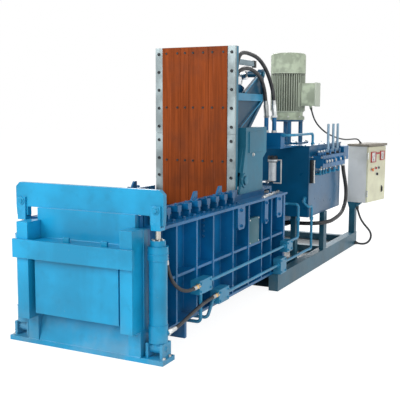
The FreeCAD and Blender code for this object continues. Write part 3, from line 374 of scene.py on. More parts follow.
FINISHES = {
    # name: (slot, maker, colour or (setting, light, lift), the maker's further values)
    "gate_paint": ("blue_paint", painted_steel, ("gate",), 0.30),
    "box_paint": ("blue_paint", painted_steel, ("box",), 0.33),
    "tank_paint": ("dark_blue_paint", painted_steel, ("tank",), 0.28, 0.7),
    "rail_paint": ("blue_paint", painted_steel, ("box", 0.75), 0.3),
    "skid_paint": ("dark_blue_paint", painted_steel, (0.015, 0.12, 0.19), 0.4, 0.8),
    # near-black tray paint: painted shadow standing in for the shaded floor inside the skid
    "tray_paint": ("dark_blue_paint", painted_steel, (0.004, 0.014, 0.022), 0.3, 0.0, 0.0),
    "arm_paint": ("blue_paint", painted_steel, (0.002, 0.075, 0.15), 0.35, 0.6),
    "pale_paint": ("blue_paint", painted_steel, (0.34, 0.46, 0.52), 0.4, 0.4),
    # stays paler than the arms: painted highlight along the arms' edges
    "stay_paint": ("blue_paint", painted_steel, ("gate", 1.0, 0.06), 0.3, 0.5),
    "cheek_paint": ("blue_paint", painted_steel, ("cheeks",), 0.4),
    "pipe_paint": ("blue_paint", painted_steel, ("gate", 0.85, 0.02), 0.3, 0.6, 0.3, 0.002),
    "lever_paint": ("steel", painted_steel, ("gate", 0.6, 0.34), 0.3, 0.6, 0.2, 0.002),
    "motor_paint": ("motor_paint", painted_steel, ("motor",), 0.45, 0.5, 0.2, 0.002, 0.35),
    "motor_case": ("motor_paint", motor_case, ("motor",)),
    "cabinet_paint": ("cream_paint", painted_steel, (0.93, 0.94, 0.90), 0.34, 0.2, 0.1, 0.003,
                      0.03),
    "door_paint": ("cream_paint", painted_steel, ("cabinet",), 0.34, 0.2, 0.1, 0.003, 0.03),
    "cap_paint": ("cream_paint", painted_steel, (0.34, 0.30, 0.24), 0.5, 0.6, 0.3),
    "grey_green": ("grey_green_paint", painted_steel, (0.035, 0.16, 0.21), 0.5, 0.6),
    "boards": ("board", lid_board, ("boards",)),
    "knife_steel": ("steel", worn_steel, (0.30, 0.36, 0.37), 0.5, 0.55),
    "plate_steel": ("steel", worn_steel, (0.45, 0.47, 0.47), 0.4),
    "dark_steel": ("steel", worn_steel, (0.035, 0.04, 0.045), 0.5, 0.6),
    "zinc": ("steel", worn_steel, (0.62, 0.64, 0.63), 0.36, 0.8),
    "gate_rod": ("chrome", rod_and_fork, ("gate",), (0.50, 0.48, 0.43)),
    "chrome": ("chrome", polished, (0.58, 0.57, 0.53), 0.2),
    "brass": ("steel", polished, (0.78, 0.50, 0.20), 0.28),
    "hose": ("hose_rubber", hose_rubber, (0.014, 0.015, 0.017)),
    "cable": ("hose_rubber", moulded, (0.03, 0.032, 0.035), 0.5),
    "black_plastic": ("hose_rubber", moulded, (0.018, 0.018, 0.02), 0.4),
    "white_plastic": ("bowl_plastic", moulded, (0.82, 0.82, 0.79), 0.35, 0.3),
    "red_plastic": ("steel", moulded, (0.55, 0.018, 0.02), 0.3, 0.4),
    "orange_plastic": ("steel", moulded, (0.9, 0.22, 0.02), 0.3, 0.4),
    "bowl": ("bowl_plastic", moulded, (0.90, 0.92, 0.92), 0.14, 0.4),
}

NODE_FINISHES = {
    "gate_paint": ("foot_plate", "front_sill", "gate_post_right", "gate_post_left", "cross_bar",
                   "door_plate", "door_panel", "yoke_beam", "gate_cylinder_right",
                   "gate_cylinder_left", "cylinder_brackets"),
    "box_paint": ("front_frame", "box_side_right", "box_side_left", "rear_bulkhead",
                  "chamber_cover", "manifold", "valve_bank"),
    "rail_paint": ("shear_rail_right", "shear_rail_left"),
    "skid_paint": ("skid", "cabinet_post"),
    "tray_paint": ("drip_tray",),
    "arm_paint": ("lid_arms",),
    "pipe_paint": ("bridge_pipe", "upper_side_pipe", "lower_side_pipe"),
    "tank_paint": ("box_floor", "main_cylinder", "ram_housing_top", "oil_tank", "tank_top",
                   "motor_stool", "lid_cylinder"),
    "cheek_paint": ("cheek_right", "cheek_left", "lid_frame"),
    "gate_rod": ("gate_rod_right", "gate_rod_left"),
    "chrome": ("lid_rod",),
    "plate_steel": ("ram",),
    "knife_steel": ("lid_knives",),
    "boards": ("lid_boards",),
    "lever_paint": ("lever_1", "lever_2", "lever_3"),
    "motor_case": ("motor",),
    "cabinet_paint": ("cabinet",),
    "door_paint": ("cabinet_door",),
    "grey_green": ("junction_box",),
    "bowl": ("filter_bowl",),
}


def finish(name):
    """The named material, made when it is first asked for."""
    if name not in bpy.data.materials:
        _, maker, base, *values = FINISHES[name]
        if isinstance(base[0], str):
            base = tint(getattr(bpy.context.scene.press_paints, base[0]), *base[1:])
        maker(name, base, *values)
    return bpy.data.materials[name]


# ---- pieces

class Piece:
    """A piece built from bmesh shapes, in millimetres along the press's stations."""
    started = []

    def __init__(self, name, finish_name, body=MACHINE, turn=None):
        self.started.append(self)
        self.name = name
        self.finish_name = finish_name
        self.body = body
        self.turn = turn or Matrix.Identity(4)
        self.mesh = bmesh.new()

    def soften(self, verts, width):
        """Round the sharp edges of the shape that verts belong to."""
        edges = {e for v in verts for e in v.link_edges if e.calc_face_angle(0.0) > 0.6}
        bmesh.ops.bevel(self.mesh, geom=list(edges), offset=width, affect="EDGES", segments=2,
                        profile=0.5, material=-1, clamp_overlap=True)

    def block(self, x0, x1, y0, y1, z0, z1, soft=0.0, turn=None):
        middle = Vector((x0 + x1, y0 + y1, z0 + z1)) / 2
        scale = Matrix.Diagonal((abs(x1 - x0), abs(y1 - y0), abs(z1 - z0), 1))
        place = Matrix.Translation(middle)
        if turn:
            place = place @ turn
        made = bmesh.ops.create_cube(self.mesh, size=1, matrix=place @ scale)
        if soft:
            self.soften(made["verts"], soft)

    def rod(self, radius, start, end, sides=20, tip=None, soft=0.0):
        start, end = Vector(start), Vector(end)
        line = end - start
        turn = line.to_track_quat("Z", "X").to_matrix().to_4x4()
        made = bmesh.ops.create_cone(
            self.mesh, cap_ends=True, cap_tris=False, segments=sides, radius1=radius,
            radius2=radius if tip is None else tip, depth=line.length,
            matrix=Matrix.Translation((start + end) / 2) @ turn)
        if soft:
            self.soften(made["verts"], soft)

    def ball(self, radius, centre, sides=16):
        bmesh.ops.create_uvsphere(self.mesh, u_segments=sides, v_segments=sides // 2,
                                  radius=radius, matrix=Matrix.Translation(Vector(centre)))

    def ring(self, radius, thick, centre, facing, sides=32):
        """Torus: a small circle spun about the axis."""
        centre, facing = Vector(centre), Vector(facing).normalized()
        turn = facing.to_track_quat("Z", "X").to_matrix().to_4x4()
        made = bmesh.ops.create_circle(self.mesh, segments=8, radius=thick,
                                       matrix=Matrix.Translation(centre) @ turn
                                       @ Matrix.Translation((radius, 0, 0))
                                       @ Matrix.Rotation(math.pi / 2, 4, "X"))
        edges = list({e for v in made["verts"] for e in v.link_edges})
        bmesh.ops.spin(self.mesh, geom=made["verts"] + edges, cent=centre, axis=facing,
                       angle=2 * math.pi, steps=sides, use_merge=True, use_duplicate=False)

    def bolt(self, spot, facing, across=None):
        """Hexagon head on its washer."""
        if across is None:
            across = bpy.context.scene.press_sizes.plate_bolt * 1000
        spot, facing = Vector(spot), Vector(facing).normalized()
        face = spot + facing * across * 0.12
        top = face + facing * across * 0.5
        self.rod(across * 0.72, spot, face, 14)
        self.rod(across * 0.56, face, top, 6)
        self.rod(across * 0.46, top, top + facing * across * 0.07, 12, across * 0.36)

    def bolts_round(self, count, radius, centre, across, first=0.0):
        """Bolts evenly round an upright axis, the first one at this many degrees."""
        for number in range(count):
            angle = math.radians(360 / count * number + first)
            self.bolt((centre[0] + radius * math.cos(angle),
                       centre[1] + radius * math.sin(angle), centre[2]), UP, across)

    def screw(self, spot, facing, across):
        """Low round head with a driving recess pressed into it."""
        spot, facing = Vector(spot), Vector(facing).normalized()
        turn = facing.to_track_quat("Z", "X").to_matrix().to_4x4()
        high = across * 0.3
        made = bmesh.ops.create_cone(
            self.mesh, cap_ends=True, cap_tris=False, segments=12, radius1=across * 0.5,
            radius2=across * 0.42, depth=high,
            matrix=Matrix.Translation(spot + facing * high / 2) @ turn)
        top = max({f for v in made["verts"] for f in v.link_faces},
                  key=lambda f: f.calc_center_median().dot(facing))
        bmesh.ops.inset_individual(self.mesh, faces=[top], thickness=across * 0.18)
        bmesh.ops.translate(self.mesh, verts=top.verts, vec=-facing * high * 0.6)

    def bead(self, *points):
        """Weld beads from point to point."""
        radius = bpy.context.scene.press_sizes.weld * 1000
        for start, end in zip(points, points[1:]):
            self.rod(radius, start, end, 6)

    def tube(self, radius, *points):
        """Small pipe with a ball at each elbow."""
        for start, end in zip(points, points[1:]):
            self.rod(radius, start, end, 14)
        for point in points[1:-1]:
            self.ball(radius, point, 14)

    def fins(self, count, inner, outer, thick, centre, low, high):
        """Upright fins round a vertical axis."""
        place = Matrix.Translation(((inner + outer) / 2 + centre[0], centre[1], (low + high) / 2))
        scale = Matrix.Diagonal((outer - inner, thick, high - low, 1))
        made = bmesh.ops.create_cube(self.mesh, size=1, matrix=place @ scale)
        shape = made["verts"] + list({e for v in made["verts"] for e in v.link_edges})
        shape += list({f for v in made["verts"] for f in v.link_faces})
        bmesh.ops.spin(self.mesh, geom=shape, cent=(*centre, low), axis=UP, use_duplicate=True,
                       angle=2 * math.pi * (count - 1) / count, steps=count - 1)

    def build(self):
        for vert in self.mesh.verts:
            vert.co = at(*(self.turn @ vert.co))
        bmesh.ops.recalc_face_normals(self.mesh, faces=self.mesh.faces)
        data = bpy.data.meshes.new(self.name)
        self.mesh.to_mesh(data)
        self.mesh.free()
        data.polygons.foreach_set("use_smooth", [True] * len(data.polygons))
        data.set_sharp_from_angle(angle=math.radians(38))
        data.materials.append(finish(self.finish_name))
        piece = bpy.data.objects.new(self.name, data)
        bpy.context.scene.collection.objects.link(piece)
        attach(piece, self.body)

    @classmethod
    def build_started(cls):
        """Build what has been started, in that order; an operator ends with it."""
        for piece in cls.started:
            piece.build()
        cls.started.clear()
        return {"FINISHED"}


# ---- hoses

HOSES = {
    # name: (route, radius, length, finish, lay)
    "gate_hose_upper": ([
        (530, 190, 650), (528, 213, 590), (530, 238, 530), (542, 268, 470), (562, 320, 418),
        (576, 396, 392), (578, 480, 388), (575, 550, 389.5)], 12.5, 507, "hose", "hanging"),
    "gate_hose_lower": ([
        (592, 147, 192), (600, 190, 197), (603, 262, 208), (600, 350, 222), (592, 440, 233),
        (586, 530, 242), (580, 620, 250), (575, 710, 255), (571, 800, 256), (569.5, 866, 256.5)
        ], 12.5, 725, "hose", "loose"),
    "lid_hose_near": ([
        (318.7, 2616.2, 1639.8), (314, 2612, 1740), (292, 2580, 1873), (268, 2506, 1988),
        (258, 2365, 2062), (255, 2210, 2084), (257, 2062, 2092), (264, 1944, 2070),
        (275, 1860, 1992), (284, 1826, 1880), (289, 1822, 1750), (289, 1821, 1620),
        (289, 1823, 1480), (289, 1838, 1340), (288, 1882, 1210), (288, 1960, 1098),
        (288, 2050, 1010), (288, 2112, 963)], 17.5, 2199, "hose", "hanging"),
    "lid_hose_far": ([
        (244, 2603.1, 1638.4), (244, 2586, 1730), (246, 2520, 1838), (248, 2410, 1912),
        (248, 2250, 1954), (248, 2101, 1962), (248, 1958, 1926), (248, 1868, 1836),
        (248, 1830, 1710), (248, 1821, 1580), (248, 1823, 1450), (248, 1838, 1320),
        (248, 1882, 1200), (248, 1960, 1094), (248, 2050, 1006), (248, 2112, 961)
        ], 17.5, 1914, "hose", "hanging"),
    "motor_cable": ([
        (401, 3464, 1612), (404, 3500, 1560), (410, 3550, 1500), (424, 3650, 1430),
        (450, 3850, 1350), (480, 4150, 1290), (500, 4420, 1262), (520, 4640, 1262),
        (540, 4755, 1262), (556, 4820, 1244), (563, 4856, 1212)], 8.0, 1514, "cable", "hanging"),
    "valve_hose": ([
        (600.5, 3975, 1050), (602, 4000, 960), (606, 4060, 850), (612, 4108, 735),
        (614, 4096, 600), (612, 3995, 505), (618, 3850, 474), (624, 3710, 464), (626, 3590, 458),
        (622, 3480, 452), (560, 3372, 446), (456, 3316, 440), (300, 3318, 434), (140, 3320, 430.5)
        ], 20.0, 1678, "hose", "hanging"),
    "post_conduit": ([
        (585, 4720, 446), (612, 4716, 345), (668, 4716, 259), (741, 4716, 186),
        (761, 4716, 132.5), (753, 4716, 81), (722, 4716, 39), (676, 4716, 18), (620, 4716, 17),
        (586, 4716, 24)], 12.0, 608, "cable", "hanging"),
}


def hose_end(name, end):
    """(tip, direction into the fitting) of a hose's first (0) or last (-1) point."""
    route = HOSES[name][0]
    tip = Vector(route[end])
    return tip, (tip - Vector(route[1 if end == 0 else -2])).normalized()


class PRESS_OT_hoses(bpy.types.Operator):
    """Lay the hoses and cables along their routes"""
    bl_idname = "press.hoses"
    bl_label = "Hoses and cables"

    def execute(self, context):
        for name, (route, radius, long, finish_name, lay) in HOSES.items():
            curve = bpy.data.curves.new(name + "_line", "CURVE")
            curve.dimensions = "3D"
            spline = curve.splines.new("NURBS")
            spline.points.add(len(route) - 1)
            for point, place in zip(spline.points, route):
                point.co = (*at(*place), 1.0)
            spline.order_u = 3
            spline.use_endpoint_u = True
            curve.resolution_u = 8
            curve.bevel_depth = radius / 1000
            curve.bevel_resolution = 5
            curve.use_fill_caps = True
            curve.materials.append(finish(finish_name))
            piece = bpy.data.objects.new(name + "_run", curve)
            context.scene.collection.objects.link(piece)
            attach(piece, MACHINE)
            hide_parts(name)
        return {"FINISHED"}


# ---- stage

class PRESS_OT_stage(bpy.types.Operator):
    """Set the camera, the pale floor and the soft studio light"""
    bl_idname = "press.stage"
    bl_label = "Stage"

    def execute(self, context):
        scene, setup = context.scene, context.scene.press_stage
        scene.view_settings.view_transform = "Standard"
        a, p, r = setup.azimuth, setup.pitch, setup.roll
        ahead = Vector((-math.sin(a) * math.cos(p), math.cos(a) * math.cos(p), -math.sin(p)))
        side = Vector((math.cos(a), math.sin(a), 0.0))
        upward = side.cross(ahead)
        side, upward = (side * math.cos(r) + upward * math.sin(r),
                        upward * math.cos(r) - side * math.sin(r))
        lens = bpy.data.cameras.new("camera")
        lens.lens, lens.sensor_width = setup.lens, 36.0
        camera = bpy.data.objects.new("camera", lens)
        turn = Matrix((side, upward, -ahead)).transposed().to_4x4()
        camera.matrix_world = Matrix.Translation(at(2815, -3851.5, 1600)) @ turn
        scene.collection.objects.link(camera)
        scene.camera = camera

        self.lamp(context, "key", (-3600, -5200, 4600), setup.key)
        self.lamp(context, "front", (2600, -5600, 2600), setup.key * 0.32)
        self.lamp(context, "side", (6500, 1800, 3600), setup.key * 0.3)
        self.lamp(context, "rear", (-2500, 8200, 4200), setup.key * 0.7)

        world = bpy.data.worlds.new("studio")
        world.use_nodes = True
        scene.world = world
        nodes = Nodes(world.node_tree)
        dim = nodes.add("ShaderNodeBackground",
                        values={"Color": (0.94, 0.97, 1, 1), "Strength": 0.38})
        white = nodes.add("ShaderNodeBackground", values={"Color": (1, 1, 1, 1), "Strength": 1.0})
        both = nodes.add("ShaderNodeMixShader", values={0: self.seen(nodes), 1: dim, 2: white})
        nodes.add("ShaderNodeOutputWorld", values={"Surface": both})

        ground = bmesh.new()
        bmesh.ops.create_grid(ground, x_segments=1, y_segments=1, size=40.0,
                              matrix=Matrix.Translation((0, 0, -0.0005)))
        data = bpy.data.meshes.new("floor")
        ground.to_mesh(data)
        ground.free()
        floor = bpy.data.objects.new("floor", data)
        scene.collection.objects.link(floor)
        paint = Finish("floor")
        tone = paint.mix(paint.noise(0.8, 3.0), (0.86, 0.86, 0.86), (0.9, 0.9, 0.9))
        matt = paint.add("ShaderNodeBsdfDiffuse", values={"Color": tone})
        glow = paint.add("ShaderNodeEmission", values={"Color": (1, 1, 1, 1), "Strength": 1.3})
        share = self.seen(paint) * 0.7
        lit = paint.add("ShaderNodeMixShader", values={0: share, 1: matt, 2: glow})
        paint.add("ShaderNodeOutputMaterial", values={"Surface": lit})
        data.materials.append(paint.material)
        return {"FINISHED"}

    @staticmethod
    def seen(nodes):
        """1 for what the camera sees, straight or in gloss and glass."""
        paths = [nodes.add("ShaderNodeLightPath", out=name)
                 for name in ("Is Camera Ray", "Is Glossy Ray", "Is Transmission Ray")]
        return (paths[0] + paths[1] + paths[2]).math("MINIMUM", 1.0)

    @staticmethod
    def lamp(context, name, place, power):
        light = bpy.data.lights.new(name, "AREA")
        light.energy, light.size = power, 4.0
        lamp = bpy.data.objects.new(name, light)
        lamp.location = at(*place)
        aim = at(0, 2200, 800) - lamp.location
        lamp.rotation_mode = "QUATERNION"
        lamp.rotation_quaternion = aim.to_track_quat("-Z", "Y")
        context.scene.collection.objects.link(lamp)


class PRESS_OT_paint(bpy.types.Operator):
    """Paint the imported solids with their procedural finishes"""
    bl_idname = "press.paint"
    bl_label = "Paint the solids"

    def execute(self, context):
        for name, nodes in NODE_FINISHES.items():
            for node in nodes:
                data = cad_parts[node].data
                data.materials.clear()
                data.materials.append(finish(name))
        return {"FINISHED"}


# ---- gate

class PRESS_OT_gate(bpy.types.Operator):
    """Dress the gate, its posts and its two cylinders"""
    bl_idname = "press.gate"
    bl_label = "Gate"

    def execute(self, context):
        pins = Piece("fork_pin_heads", "gate_paint", "gate")
        clips = Piece("fork_pin_clips", "zinc", "gate")
        for x in (-GATE_CYLINDER_X, GATE_CYLINDER_X):
            for inner, outer in ((55.7, 51), (117.3, 122)):
                pins.rod(27, (x, inner, FORK_PIN_Z), (x, outer, FORK_PIN_Z), 28, soft=1.5)
            pins.rod(17, (x, 51, FORK_PIN_Z), (x, 42, FORK_PIN_Z), 20, tip=14)
            clips.rod(2.5, (x - 20, 124.5, FORK_PIN_Z + 3), (x + 20, 124.5, FORK_PIN_Z - 3), 8)

        seams = Piece("gate_welds", "gate_paint", "gate")
        for x in (-330, 330):
            seams.bead((x, 50, 244), (x, 50, 736))
        seams.bead((-330, 50, 738), (330, 50, 738))
        for y in (68, 90):
            seams.bead((-388, y, 937), (388, y, 937))
        for lug in (-70, 225):
            seams.bead((lug - 23, -46, 738), (lug + 23, -46, 738))

        seams = Piece("frame_welds", "gate_paint")
        for side, _ in SIDES:
            inner, outer = side * 361, side * 451
            seams.bead((inner, -120, 620), (inner, -92, 620))
            for x in (inner, outer):
                seams.bead((x, -92, 622), (x, -92, 743))
            seams.bead((outer, 0, 34), (outer, 0, 203), (outer, -90, 203))
            seams.bead((outer, 45, 205), (outer, 45, 850))
            seams.bead((inner, 2, 32), (outer, 2, 32))
        seams.bead((-361, 8, 32), (361, 8, 32))
        seams.bead((-450, 96, 32), (450, 96, 32))

        bolts = Piece("anchor_bolts", "zinc")
        for x in (-598, 598):
            for y in (40, 116):
                bolts.bolt((x, y, 32), UP, 19)

        glands = Piece("gland_screws", "zinc")
        bands = Piece("cylinder_bands", "gate_paint")
        wipers = Piece("rod_wipers", "black_plastic")
        y = GATE_CYLINDER_Y
        for x in (-GATE_CYLINDER_X, GATE_CYLINDER_X):
            glands.bolts_round(6, 35, (x, y, GATE_CYLINDER_TOP), 11, 15)
            for z, radius in ((239, 62), (661, 65), (700, 67), (745, 65)):
                bands.ring(radius, 3, (x, y, z), UP, 40)
            for z in (64, 112):
                bands.bead((x - 62, 31, z), (x - 62, 142, z))
            wipers.ring(23, 4, (x, y, GATE_CYLINDER_TOP + 1), UP, 28)
        return Piece.build_started()


# ---- charging box

class PRESS_OT_box(bpy.types.Operator):
    """Dress the charging box: seams, clamp bolts, tabs and the strip on its flange"""
    bl_idname = "press.box"
    bl_label = "Charging box"

    def execute(self, context):
        for side, name in SIDES:
            seams = Piece("rib_welds_" + name, "box_paint")
            wall = side * BOX_WALL
            for rib in RIBS:
                for y in (rib, rib + 20, rib + 60, rib + 72):
                    seams.bead((wall, y, 172), (wall, y, 476))
                    seams.bead((wall, y, 500), (wall, y, 836))
                for x, z in ((508, 838), (502, 498), (508, 170)):
                    seams.bead((side * 409, rib, z), (side * x, rib, z))
            for start, end in zip((126,) + RIBS, RIBS + (2400,)):
                start += 22 if start > 126 else 0
                for z in (170, 838) if start < 321 else (170, 478, 498, 838):
                    seams.bead((wall, start, z), (wall, end - 2, z))

            bolts = Piece("clamp_bolts_" + name, "rail_paint")
            for y in range(215, 1416, 150):
                bolts.bolt((side * 428, y, 950), UP)
                bolts.bolt((side * 474, y + 30, 858), UP)
            tabs = Piece("tab_bolts_" + name, "box_paint")
            for y0, y1, low in ((1335, 1476, 662), (1898, 1973, 634), (2180, 2313, 651)):
                for z in (low + 28, 815):
                    tabs.bolt((side * 530, (y0 + y1) / 2, z), (side, 0, 0))
            lip = Piece("rail_joints_" + name, "dark_steel")
            for y in (592, 1042, 1492):
                lip.block(side * 399, side * 400.8, y, y + 3, 860, 949)
                lip.block(side * 374.2, side * 401, y, y + 3, 949, 950.6)

        column = Piece("rib_bolts", "rail_paint")
        for z in (672, 712, 752, 792, 826):
            column.bolt((430, 929, z), FRONT, 17)

        strip = Piece("flange_strip", "zinc")
        start, end = Vector((523, 1880, 868)), Vector((476, 2357, 868))
        turn = (end - start).to_track_quat("Y", "Z").to_matrix().to_4x4()
        middle, long = (start + end) / 2, (end - start).length
        strip.block(middle.x - 8, middle.x + 8, middle.y - long / 2, middle.y + long / 2,
                    858, 878, 2, turn)
        feet = Piece("flange_strip_bolts", "dark_steel")
        for share in (0.08, 0.5, 0.92):
            spot = start.lerp(end, share)
            feet.bolt((spot.x, spot.y, 878), UP, 13)

        lid = Piece("junction_box_lid", "grey_green")
        lid.block(505, 511, 1610, 1818, 500, 715, 2)
        screws = Piece("junction_box_screws", "zinc")
        for y in (1622, 1806):
            for z in (512, 702):
                screws.screw((511, y, z), RIGHT, 13)
        return Piece.build_started()


# ---- lid

class PRESS_OT_lid(bpy.types.Operator):
    """Dress the shear lid: knife and board bolts, ribs, arms and hinge caps"""
    bl_idname = "press.lid"
    bl_label = "Lid and cheeks"

    def execute(self, context):
        heads = Piece("knife_bolts", "dark_steel", "lid")
        for x in (-338, 338):
            for z in (2060, 1910, 1761, 1610, 1458, 1342, 1189, 1043, 890):
                heads.screw((x, 1615, z), FRONT, 27)
        heads = Piece("board_bolts", "dark_steel", "lid")
        for z in (2063, 1616, 1175):
            for x in (-261, -157, -85, -10, 82, 167, 265):
                heads.screw((x, 1609, z), FRONT, 20)
        seams = Piece("lid_welds", "cheek_paint", "lid")
        for x in (-290, -270, 270, 290):
            seams.bead((x, 1679, 1118), (x, 1679, 2078))
        for z in (1130, 1440, 1790, 2060):
            for x0, x1 in ((-270, -222), (-178, 178), (222, 270)):
                seams.bead((x0, 1679, z), (x1, 1679, z))
        for side, _ in SIDES:
            for x in (180, 220):
                seams.bead((side * x, 1681, 1742), (side * x, 2200, 1742))
            seams.bead((side * 207, 2215, 1745), (side * 207, 2560, 1925))

        caps = Piece("hinge_caps", "cheek_paint", "lid")
        for side, _ in SIDES:
            caps.rod(36, (side * 416, *LID_HINGE), (side * 424, *LID_HINGE), 32, soft=1.5)
            caps.rod(24, (side * 220, *LID_PIN), (side * 232, *LID_PIN), 28, soft=2)
        # stays and edge strips paler than the arms: painted highlight along the arms' edges
        stays = Piece("arm_stays", "stay_paint", "lid")
        for side, _ in SIDES:
            stays.block(side * 220, side * 226, 1800, 2572, 1678, 1742, 2)
            for low, high in (((2160, 1742), (2520, 1932)), ((2062, 1439), (2548, 1678))):
                stays.rod(6, (side * 222, *low), (side * 222, *high), 6)
        cover = Piece("hose_bar_cover", "pale_paint", "lid")
        cover.block(188.5, 211.5, 1690, 2384, 1988.5, 2036.5, 2)
        clamp = Piece("hose_bar_clamp", "black_plastic", "lid")
        clamp.block(186, 214, 2386, 2436, 1978, 2042, 4)

        for side, name in SIDES:
            face = side * CHEEK_FACE
            bolts = Piece("cheek_bolt_" + name, "zinc")
            bolts.bolt((face, 1926, 1222), (side, 0, 0))
            seams = Piece("cheek_welds_" + name, "cheek_paint")
            seams.bead((face, 1672, 908), (face, 2148, 908))
            for y in (1834, 2154):
                seams.bead((face, y, 1242), (face, y, 1414))
            for z in (1240, 1416):
                seams.bead((face, 1836, z), (face, 2152, z))
            seams.ring(60, 3.5, (face, *LID_HINGE), (side, 0, 0))

        rings = Piece("lid_cylinder_rings", "tank_paint", "lid_cylinder")
        along, base = Vector(LID_CYLINDER_LINE).normalized(), Vector(LID_CYLINDER_BASE)
        for far, radius in ((74, 63), (120, 63), (700, 63), (766, 63), (790, 57)):
            rings.ring(radius, 4, base + along * far, along, 36)
        for far in (130, 720):
            rings.rod(16, base + along * far + Vector((0, 40, -24)),
                      base + along * far + Vector((0, 78, -45)), 6)
        return Piece.build_started()


# ---- power pack

class PRESS_OT_motor(bpy.types.Operator):
    """Dress the motor: fins, fan cowl grille, terminal box lid and flange bolts"""
    bl_idname = "press.motor"
    bl_label = "Motor"

    def execute(self, context):
        x, y = MOTOR
        fins = Piece("motor_fins", "motor_paint")
        fins.fins(context.scene.press_sizes.fin_count, 160, 178, 4, MOTOR, 1588, 1962)
        trim = Piece("motor_trim", "motor_paint")
        trim.ring(176, 5, (x, y, 1974), UP, 60)
        trim.ring(166, 5, (x, y, 1581), UP, 60)
        for radius in (34, 62, 90, 118):
            trim.ring(radius, 3, (x, y, 2177), UP, 48)
        for turn in range(4):
            away = self.away(45 * turn) * 132
            trim.rod(3, Vector((x, y, 2177)) - away, Vector((x, y, 2177)) + away, 8)
        trim.rod(20, (x, y, 2174), (x, y, 2181), 24, tip=16)
        for turn in range(4):
            away = self.away(90 * turn + 35)
            trim.screw(Vector((x, y, 1996)) + away * 180, away, 14)
        trim.block(292, 302, 3372, 3528, 1632, 1878, 3)
        trim.block(462, 476, 3374, 3526, 1634, 1876, 4)
        trim.ring(24, 6, (x - 60, y - 20, 1986), (1, 0.3, 0), 28)
        # black disc under the grille and dark studs round the cowl's rim: painted shade standing in
        # for the openings
        dark = Piece("motor_openings", "black_plastic")
        dark.rod(124, (x, y, 2172), (x, y, 2175.6), 48)
        for turn in range(36):
            foot = Vector((x, y, 1946)) + self.away(10 * turn) * 170
            dark.rod(4, foot, foot + UP * 21, 6)
        screws = Piece("motor_screws", "zinc")
        for dy in (-62, 62):
            for z in (1650, 1860):
                screws.screw((476, y + dy, z), RIGHT, 14)
        screws.bolts_round(8, 166, (x, y, 1525), 17, 22.5)
        gland = Piece("cable_glands", "black_plastic")
        for name in ("motor_cable", "post_conduit"):
            radius = HOSES[name][1]
            for end in (0, -1):
                tip, inward = hose_end(name, end)
                gland.rod(radius * 1.9, tip + inward * 4, tip + inward * 16, 6)
                gland.rod(radius * 1.6, tip + inward * 4, tip - inward * 18, 20,
                          tip=radius * 1.15)
        return Piece.build_started()

    @staticmethod
    def away(degrees):
        """Level direction out from the shaft."""
        angle = math.radians(degrees)
        return Vector((math.cos(angle), math.sin(angle), 0))


class PRESS_OT_tank(bpy.types.Operator):
    """Dress the oil tank: lid bolts, seams, sight gauge, filler and filter"""
    bl_idname = "press.tank"
    bl_label = "Oil tank"

    def execute(self, context):
        bolts = Piece("tank_lid_bolts", "zinc")
        for x in range(-495, 500, 165):
            for y in (3028, 4059):
                bolts.bolt((x, y, TANK_TOP), UP, 15)
        for y in range(3200, 4059, 172):
            for x in (-524, 524):
                bolts.bolt((x, y, TANK_TOP), UP, 15)
        for dx in (-156, 156):
            for dy in (-156, 156):
                bolts.bolt((MOTOR[0] + dx, MOTOR[1] + dy, TANK_TOP + 18), UP, 19)
        seams = Piece("tank_welds", "tank_paint")
        x, near, far = TANK_X, TANK_FRONT, TANK_BACK
        for corner in ((-x, near), (-x, far), (x, near), (x, far)):
            seams.bead((*corner, 552), (*corner, 1238))
        for start, end in (((-x, near), (x, near)), ((-x, far), (x, far)),
                           ((-x, near), (-x, far)), ((x, near), (x, far))):
            seams.bead((*start, 551), (*end, 551))

        gauge = Piece("sight_gauge_body", "dark_steel")
        gauge.block(540, 574, 3040, 3072, 884, 1112, 3)
        glass = Piece("sight_gauge_tube", "white_plastic")
        glass.rod(6.5, (581, 3056, 892), (581, 3056, 1104), 16)
        nuts = Piece("sight_gauge_nuts", "zinc")
        for z in (886, 1096):
            nuts.rod(11, (581, 3056, z), (581, 3056, z + 14), 6)
            nuts.block(566, 588, 3048, 3064, z + 2, z + 12, 1)

        filler = Piece("filler_breather", "zinc")
        spot = (-300, 3780)
        filler.rod(48, (*spot, TANK_TOP), (*spot, 1262), 32, soft=1.5)
        filler.rod(36, (*spot, 1262), (*spot, 1318), 32, soft=4)
        for z in (1276, 1300):
            filler.ring(37, 3, (*spot, z), UP)
        cover = Piece("tank_cleaning_cover", "tank_paint")
        y, z = TANK_BACK + 10, COVER_Z
        cover.rod(190, (0, TANK_BACK, z), (0, y, z), 48, soft=2)
        for turn in range(12):
            angle = math.radians(30 * turn)
            cover.bolt((168 * math.cos(angle), y, z + 168 * math.sin(angle)), BACK, 15)
        drain = Piece("drain_plug", "brass")
        drain.rod(22, (-380, TANK_BACK, 590), (-380, TANK_BACK + 15, 590), 6)

        x, y = FILTER
        cap = Piece("filter_cap", "dark_steel")
        cap.rod(50, (x, y, 1112), (x, y, 1144), 36, soft=3)
        cap.rod(50.5, (x, y, 1086), (x, y, 1094), 36)
        cap.bolts_round(6, 38, (x, y, 1144), 11)
        cap.rod(16, (x, y, 900), (x, y, 886), 6)
        ribs = Piece("filter_bowl_ribs", "bowl")
        for z in (915, 960, 1005, 1050):
            ribs.ring(38, 2.5, (x, y, z), UP)
        loop = Piece("filter_bypass", "white_plastic")
        loop.tube(7, (225, y, 1108), (275, y, 1108), (275, y, 880), (196, y, 880))
        elbow = Piece("filter_elbow", "chrome")
        elbow.tube(22, (170, y, 878), (92, y, 878), (92, 3010, 878))
        elbow.rod(30, (128, y, 878), (150, y, 878), 6)
        elbow.rod(30, (92, 2984, 878), (92, 3010, 878), 6)
        return Piece.build_started()


